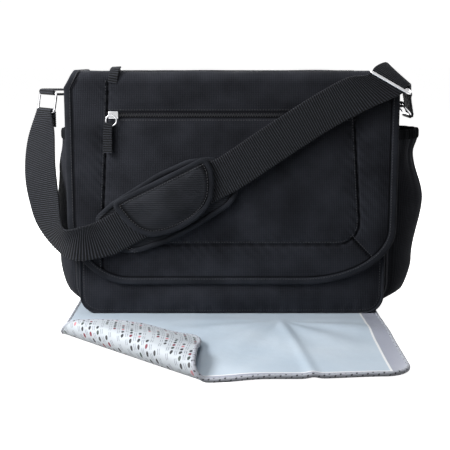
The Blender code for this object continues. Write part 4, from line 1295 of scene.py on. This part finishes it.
def make_lining(rows):
    """The lining inside the shell, the divider and the slip pocket on the back wall."""
    wrapped = np.concatenate([rows[:, -1:], rows, rows[:, :1]], axis=1)
    outward = normals_of(wrapped[::-1])[::-1, 1:-1]
    inner = (rows - outward * 0.0022)[:-1]
    uv = stacked(lengths_along(inner[FULL_ROW]), inner[:, :, 2])
    lining = sheet_mesh("lining_cloth", inner[::-1], 0.0005, 0.0005, uv[::-1], "lining", around=True)
    dress(lining, "bag", "lining_fabric", "lining")
    a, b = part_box("inner_divider")
    x, z = np.meshgrid(np.linspace(a.x + 0.0006, b.x - 0.0006, 120), np.linspace(b.z, a.z + 0.0006, 90))
    corner = 0.030
    lift = np.clip(z - a.z, 0.0, corner)
    x = x * (1 - (corner - np.sqrt(corner**2 - (corner - lift) ** 2)) / b.x)
    y = (a.y + b.y) / 2 + 0.0018 * ripple(x * 0.8, z * 0.6, 1.1)
    inner_sheet("divider_cloth", stacked(x, y, z), 0.0009, "inner_divider")
    a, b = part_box("inner_slip_pocket")
    x, z = np.meshgrid(np.linspace(a.x, b.x, 100), np.linspace(b.z, a.z, 70))
    along, down = (x - a.x) / (b.x - a.x), 1 - (z - a.z) / (b.z - a.z)
    full = np.sin(math.pi * along) * np.sin(math.pi * (0.25 + 0.75 * down))
    y = b.y - 0.0006 - np.sqrt(np.clip(full, 0, 1)) * (0.0072 + 0.0012 * ripple(x, z, 2.0))
    inner_sheet("slip_pocket_cloth", stacked(x, y, z), 0.0005, "inner_slip_pocket")


def inner_sheet(name, grid, half, node):
    """A flat piece of lining cloth."""
    piece = sheet_mesh(name, grid, half, half, grid[..., [0, 2]], "lining")
    dress(piece, "bag", "lining_fabric", node)


def small_patch(name, node, body, axis, slot, material):
    """A thin soft rectangle with rounded corners and a fine nap, thin along one axis."""
    lowest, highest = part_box(node)
    a, b = [k for k in range(3) if k != axis]
    corner = 0.004
    vv = np.linspace(highest[b], lowest[b], 40)
    near = np.minimum(highest[b] - vv, vv - lowest[b]).clip(0.0, corner)
    half = (highest[a] - lowest[a]) / 2 - (corner - np.sqrt(corner**2 - (corner - near) ** 2))
    uu = (lowest[a] + highest[a]) / 2 + half[:, None] * np.linspace(-1, 1, 60)[None, :]
    grid = np.zeros((40, 60, 3))
    grid[..., a] = uu
    grid[..., b] = vv[:, None]
    grid[..., axis] = (lowest[axis] + highest[axis]) / 2
    thick = (highest[axis] - lowest[axis]) / 2
    nap = thick * (0.72 + 0.26 * np.sin(uu / 0.0007) * np.sin(vv[:, None] / 0.0007))
    uv = stacked(uu, vv[:, None])
    patch = sheet_mesh(name, grid, nap, nap, uv, material)
    dress(patch, body, slot, node)


def make_patches():
    """The cloth patches under the ring tabs and the hook and loop strips."""
    for side in ("left", "right"):
        small_patch(f"{side}_patch_cloth", f"{side}_anchor_patch", "bag", 0, "shell_fabric", "shell")
        small_patch(f"{side}_loop_nap", f"{side}_loop_strip", "bag", 1, "hook_loop", "hook_loop")
        small_patch(f"{side}_hook_nap", f"{side}_hook_strip", "flap", 1, "hook_loop", "hook_loop")


def make_pocket_wall(line):
    """The wall between the front pocket's face and the body."""
    line = even(line, 0.004)
    deep = np.linspace(0.0, 1.0, 9)
    start, end = POCKET_FACE + 0.0030, BODY_FRONT - 0.0006
    middle = np.array([0.0, POCKET_TOP])
    rows = []
    inward = (middle - line) / np.linalg.norm(middle - line, axis=1, keepdims=True)
    for share in deep:
        pulled = line + inward * (0.0014 + 0.0010 * math.sin(math.pi * share))
        rows.append([(x, start + (end - start) * share, z) for x, z in pulled])
    uv = stacked(lengths_along(line), deep[:, None] * 0.012)
    wall = sheet_mesh("front_pocket_wall", rows, 0.0006, 0.0006, uv, "shell")
    dress(wall, "bag", "shell_fabric", "front_pocket_gusset")


# ------------------------------------------------------------ front pocket
POCKET_CORNER = 0.022


def pocket_half(z):
    """Half the front pocket's width at a height."""
    rise = np.clip(POCKET_BASE + POCKET_CORNER - z, 0.0, POCKET_CORNER)
    return POCKET_HALF - (POCKET_CORNER - np.sqrt(POCKET_CORNER * POCKET_CORNER - rise * rise))


def pocket_relief(x, z):
    """How far the pocket's cloth stands proud, flat where the loop strips are sewn on."""
    edge = np.minimum(POCKET_HALF - np.abs(x), z - POCKET_BASE)
    puff = 0.0020 * (1 - np.exp(-np.maximum(edge, 0.0) / 0.012))
    low_belly = 0.0060 * np.exp(-(((z - POCKET_BASE - 0.020) / 0.020) ** 2)) * (1 - (x / POCKET_HALF) ** 2)
    gathers = np.sin(2 * math.pi * x / 0.017 + 4 * ripple(x, z, 2.0))
    pucker = 0.0005 * np.exp(-np.maximum(edge, 0) / 0.012) * gathers
    by_strip = np.exp(-(((np.abs(x) - 0.110) / 0.042) ** 4) - ((z - 0.1125) / 0.024) ** 4)
    relief = puff + low_belly + pucker + 0.0009 * ripple(x * 0.7, z * 0.7, 9.0)
    return relief * (1 - by_strip) + 0.0003 * by_strip


def make_front_pocket():
    """The pocket under the flap: its cloth, its cord, its wall and its stitches."""
    corner = POCKET_CORNER * (1 - np.cos(np.radians(np.linspace(90, 0, 22))))[1:]
    z = np.concatenate([np.linspace(POCKET_TOP, POCKET_BASE + POCKET_CORNER, 90), POCKET_BASE + corner])
    x = pocket_half(z)[:, None] * np.linspace(-1, 1, 190)
    grid = stacked(x, POCKET_FACE + 0.0010, z[:, None])
    relief = pocket_relief(x, grid[..., 2]) * smooth_step((POCKET_TOP + 0.02 - z) / 0.05)[:, None]
    panel = sheet_mesh("front_pocket_cloth", grid, relief, 0.0004, grid[..., [0, 2]], "shell")
    dress(panel, "bag", "shell_fabric", "front_pocket_panel")
    round_half, round_base = POCKET_HALF - POCKET_CORNER, POCKET_BASE + POCKET_CORNER
    radius = POCKET_CORNER + 0.001
    turns = np.radians(np.linspace(180, 270, 14))
    left = [(-round_half + radius * math.cos(t), round_base + radius * math.sin(t)) for t in turns]
    foot = [(x, POCKET_BASE - 0.001) for x in np.linspace(-round_half + 0.004, round_half - 0.004, 60)]
    right = [(round_half - radius * math.cos(t), round_base + radius * math.sin(t)) for t in turns[::-1]]
    line = [(-POCKET_HALF - 0.001, POCKET_TOP), *left, *foot, *right, (POCKET_HALF + 0.001, POCKET_TOP)]
    line = even(line, 0.003)
    points = [(x, POCKET_FACE + 0.0004 + 0.0004 * math.sin(x * 90), z) for x, z in line]
    piping = cord_like("front_pocket_cord", points, 0.0017, "binding")
    dress(piping, "bag", "binding_tape", "front_pocket_piping")
    make_pocket_wall(line)
    rows = []
    for x, z in offset_line(line, 0.0042, 0.004):
        rows.append((x, POCKET_FACE + 0.0010 - pocket_relief(x, z), z, 0.0, -1.0, 0.0))
    stitches("front_pocket_stitches", [rows[2:-2]], "bag")


# ------------------------------------------------------------ side pockets
PLEAT = 0.0022
POCKET_GIRTH = 0.14  # length of a side pocket's cloth from its front to its back


def bulge_at(z, heights):
    """How far a side pocket stands out at a height, from (height, bulge) rows."""
    for (z0, b0), (z1, b1) in zip(heights, heights[1:]):
        if z <= z1:
            return b0 + (b1 - b0) * smooth_step((z - z0) / (z1 - z0))
    return heights[-1][1]


def make_side_pocket(side, sign, heights, seed):
    """A gathered side pocket and the elastic hem at its top."""
    node = f"{side}_side_pocket"
    cloth_low, cloth_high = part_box(node)
    front, back = cloth_low.y, cloth_high.y
    base, top = BODY_BASE + 0.004, cloth_high.z
    elastic_top = high(f"{side}_pocket_elastic").z

    def place(z, s, extra):
        wall = base_half(max(z, BODY_BASE + 0.001)) + 0.0008
        swell = math.sin(math.pi * s) ** 0.62
        bulge = bulge_at(z - FLOOR, heights) * swell
        near_top = math.exp(-(top - z) / 0.030)
        fold = PLEAT * near_top * math.sin(2 * math.pi * s * 7.5 + seed) * swell
        crease = 0.0016 * ripple(s * 0.10, z * 0.8, seed) * swell
        y = front + (back - front) * s + 0.0012 * near_top * math.sin(2 * math.pi * s * 15 + seed) * swell
        return (sign * (wall + bulge + fold + crease + extra * swell), y, z)

    shares = np.linspace(0.0, 1.0, 73)
    zs = np.linspace(top, base, 90)
    grid = np.array([[place(z, s, 0.0) for s in shares] for z in zs])
    uv = stacked(shares * POCKET_GIRTH, zs[:, None])
    if sign < 0:
        grid, uv = grid[:, ::-1], uv[:, ::-1]
    cloth = sheet_mesh(f"{side}_pocket_cloth", grid, 0.0009, 0.0007, uv, "shell")
    dress(cloth, "bag", "shell_fabric", node)
    shares = np.linspace(0.0, 1.0, 241)
    zs = np.linspace(elastic_top, top - 0.002, 9)
    rim = np.array([[(*place(min(z, top), s, 0.0008)[:2], z) for s in shares] for z in zs])
    uv = stacked(shares * POCKET_GIRTH, zs[:, None])
    if sign < 0:
        rim, uv = rim[:, ::-1], uv[:, ::-1]
        shares = shares[::-1]
    fine = 0.0005 * np.sin(2 * math.pi * shares * 62)
    round_edge = np.array([0.3, 0.75, 1, 1, 1, 1, 1, 0.8, 0.5])[:, None]
    front, back = 0.0013 * round_edge + fine, 0.0009 * round_edge
    elastic = sheet_mesh(f"{side}_pocket_hem", rim, front, back, uv, "elastic")
    dress(elastic, "bag", "elastic", f"{side}_pocket_elastic")


# ------------------------------------------------------------ changing pad
MAT_LOW, MAT_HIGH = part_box("changing_pad")
MAT_LEFT, MAT_RIGHT = MAT_LOW.x, MAT_HIGH.x
MAT_BACK = MAT_HIGH.y
MAT_HALF_THICK = 0.0018
CREASE_FRONT = np.array([MAT_LOW.x + 0.183, MAT_LOW.y + 0.006])
CREASE_BACK = np.array([MAT_LOW.x + 0.003, MAT_LOW.y + 0.187])
CREASE_LENGTH = float(np.linalg.norm(CREASE_BACK - CREASE_FRONT))


def mat_flat(u, v):
    """A point of the flat mat: u runs from its left side and v from its back edge, both 0 to 1."""
    front_left, front_right = MAT_LOW.y + 0.004, MAT_LOW.y + 0.026
    front = front_left + (front_right - front_left) * u
    y = MAT_BACK + (front - MAT_BACK) * v
    ends = []
    for corner in (0.055, 0.030):
        rise = max(0.0, corner - (y - front))
        ends.append(corner - math.sqrt(max(0.0, corner**2 - rise**2)))
    x = MAT_LEFT + ends[0] + (MAT_RIGHT - MAT_LEFT - ends[0] - ends[1]) * u
    return x, y


def mat_creases(x, y):
    """The ridge down the mat's middle and the shallow creases that fan out from its foot."""
    foot, tip = (0.060, -0.110), (0.082, -0.325)
    ridge = distance_to([[foot, tip]], x, y)
    away = math.hypot(x - foot[0], y - foot[1])
    fan = math.sin(11 * math.atan2(y - foot[1], x - foot[0])) * math.exp(-(((away - 0.09) / 0.06) ** 2))
    return 0.0017 * math.exp(-((ridge / 0.006) ** 2)) + 0.0010 * (1 + fan)


def mat_fold(x, y):
    """Where a point of the flat mat lies once its front left corner is folded over."""
    along = (CREASE_BACK - CREASE_FRONT) / CREASE_LENGTH
    outward = np.array([-along[1], along[0]])
    spot = np.array([x, y])
    depth = float((spot - CREASE_FRONT) @ outward)
    share = float((spot - CREASE_FRONT) @ along) / CREASE_LENGTH
    radius = 0.0078 + 0.0026 * math.sin(math.pi * min(1.0, max(0.0, share)))
    open_front = smooth_step((BODY_FRONT - 0.022 - y) / 0.06)
    wave = 0.0016 * (0.6 + ripple(x * 0.6, y * 0.6, 3.0)) * open_front
    wave *= smooth_step(-depth / 0.04)
    base = FLOOR + MAT_HALF_THICK + 0.0002
    if depth <= 0:
        clear = smooth_step(-depth / 0.05) * open_front
        return x, y, base + max(0.0, wave) + clear * mat_creases(x, y)
    foot = spot - outward * depth
    bend = math.pi * radius
    if depth < bend:
        turn = depth / radius
        spot = foot + outward * radius * math.sin(turn)
        return spot[0], spot[1], base + radius * (1 - math.cos(turn))
    past = depth - bend
    spot = foot - outward * past
    settle = smooth_step(past / 0.085)
    puff = 0.0045 * math.sin(math.pi * min(1.0, past / 0.12)) * (0.6 + ripple(x, y, 7.0))
    height = 2 * radius + (2 * MAT_HALF_THICK + 0.0012 - 2 * radius) * settle + max(0.0, puff)
    return spot[0], spot[1], base + height


def make_mat():
    """The changing pad as one folded sheet, with a cord round its free edges."""
    us = np.linspace(0.0, 1.0, 170)
    turns = np.sin(np.linspace(0, math.pi / 2, 30))
    vs = np.concatenate([np.linspace(0.0, 0.92, 150), 0.92 + 0.08 * turns[1:]])
    flat = np.array([[mat_flat(u, v) for u in us] for v in vs])
    grid = np.array([[mat_fold(*spot) for spot in row] for row in flat])
    mat = sheet_mesh("mat_cloth", grid, MAT_HALF_THICK, MAT_HALF_THICK, flat, "mat_face", "mat_back")
    dress(mat, "changing_pad", "mat_vinyl", "changing_pad")
    side = [*np.linspace(0.02, 0.92, 60), *(0.92 + 0.08 * turns)]
    border = [mat_flat(0, v) for v in side]
    border += [mat_flat(u, 1) for u in np.linspace(0.01, 1, 60)]
    border += [mat_flat(1, v) for v in side[::-1]]
    border = even(border, 0.003)
    points = even([mat_fold(*spot) for spot in border], 0.002)
    cord = cord_like("mat_piping", points, 0.0026, "mat_edge", hint=(0.0, 0.0, 1.0))
    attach(cord, "changing_pad")


# ------------------------------------------------------------------- stage
LAMPS = (  # name, place, size and power
    ("key", (-0.80, -0.42, 0.72), 0.35, 10.0),
    ("top", (-0.15, 0.10, 1.5), 1.0, 12.0),
    ("fill", (-0.52, -0.52, 0.40), 0.45, 2.6),
    ("rear", (0.3, 1.5, 0.8), 1.4, 14.0),
    ("side", (1.3, -0.30, 0.5), 0.8, 1.8),
)
LIT_POINT = Vector((0.0, 0.0, 0.15))
FLOOR_HALF = 40.0
WHITE = (1.0, 1.0, 1.0, 1.0)


def make_stage():
    """The pale floor, the white world and the lamps."""
    ground = Nodes("ground")
    ground.finish((0.97, 0.97, 0.97, 1.0), 0.9, specular=0.0)
    ground.shader.inputs["Emission Color"].default_value = WHITE
    ground.shader.inputs["Emission Strength"].default_value = 1.0
    mesh = bpy.data.meshes.new("floor")
    corners = [(a * FLOOR_HALF, b * FLOOR_HALF, 0) for a, b in ((-1, -1), (1, -1), (1, 1), (-1, 1))]
    mesh.from_pydata(corners, [], [(0, 1, 2, 3)])
    mesh.materials.append(ground.material)
    floor = bpy.data.objects.new("floor", mesh)
    floor.location.z = FLOOR
    bpy.context.scene.collection.objects.link(floor)
    floor.visible_diffuse = False
    world = bpy.data.worlds.new("studio")
    world.use_nodes = True
    backdrop = world.node_tree.nodes["Background"].inputs
    backdrop["Color"].default_value = WHITE
    backdrop["Strength"].default_value = 1.05
    world.cycles_visibility.diffuse = False
    bpy.context.scene.world = world
    bpy.context.scene.view_settings.view_transform = "Standard"
    for name, place, size, power in LAMPS:
        light = bpy.data.lights.new(name, "AREA")
        light.size = size
        light.energy = power
        lamp = bpy.data.objects.new(name, light)
        lamp.location = place
        lamp.rotation_euler = (LIT_POINT - Vector(place)).to_track_quat("-Z", "Y").to_euler()
        bpy.context.scene.collection.objects.link(lamp)


CAMERA_PLACE = (-0.0085, -1.25, 0.32)
CAMERA_DIP = 9.8  # degrees below level


def make_camera():
    """The camera in front of the bag, looking slightly down."""
    camera = bpy.data.cameras.new("camera")
    camera.lens = 76.7
    camera.sensor_width = 36.0
    obj = bpy.data.objects.new("camera", camera)
    obj.location = CAMERA_PLACE
    obj.rotation_euler = (math.radians(90 - CAMERA_DIP), 0.0, 0.0)
    bpy.context.scene.collection.objects.link(obj)
    bpy.context.scene.camera = obj


# ------------------------------------------------------------------- whole
def make_materials():
    """Every material, by the name that the pieces use."""
    woven("shell", "shell_fabric", 0.0022, 0.0022, 0.0005, lift=1.35)
    woven("lining", "lining_fabric", 0.0012, 0.0012, 0.0002, sheen=0.0, lift=0.6, mottle_and_sheen=0.15)
    ribbed("webbing", "webbing", 0.0029, 1.4)
    # the binding's colour is lifted above the shell's as a painted highlight along its rounded edges
    woven("binding", "binding_tape", 0.0016, 0.0016, 0.0002, 0.6, lift=1.7)
    woven("pad", "pad_fabric", 0.0026, 0.0009, 0.0007, lift=1.6)
    woven("elastic", "elastic", 0.0018, 0.0030, 0.0003)
    woven("zip", "zip_tape", 0.0012, 0.0012, 0.0002, 0.6)
    woven("hook_loop", "hook_loop", 0.0010, 0.0010, 0.0006, 0.9, "Object")
    polished("metal")
    plain("board", slot_colour("board"), 0.5)
    plain("teeth", (0.012, 0.012, 0.014), 0.4)
    plain("thread", (0.024, 0.025, 0.030), 0.6)
    mat_face()
    mat_back()
    mat_edge()


def dress_cad_nodes():
    """The CAD nodes that stay in view take their slot's material."""
    for row in RECORD["subparts"]:
        node = frame["nodes"][row["node"]]
        if not node.hide_render:
            node.data.materials.clear()
            node.data.materials.append(MATERIALS[row["material_slot"]])


LEFT_BULGE = ((0.006, 0.004), (0.024, 0.020), (0.060, 0.025), (0.100, 0.031), (0.180, 0.024), (0.222, 0.017))
RIGHT_BULGE = ((0.006, 0.006), (0.024, 0.031), (0.060, 0.039), (0.140, 0.050), (0.202, 0.035), (0.222, 0.040))

make_materials()
make_body()
make_front_pocket()
make_side_pocket("left", -1, LEFT_BULGE, 1.0)
make_side_pocket("right", 1, RIGHT_BULGE, 2.4)
make_patches()
make_flap()
make_zips()
make_strap()
make_shoulder_pad()
make_mat()
dress_cad_nodes()
make_stage()
make_camera()
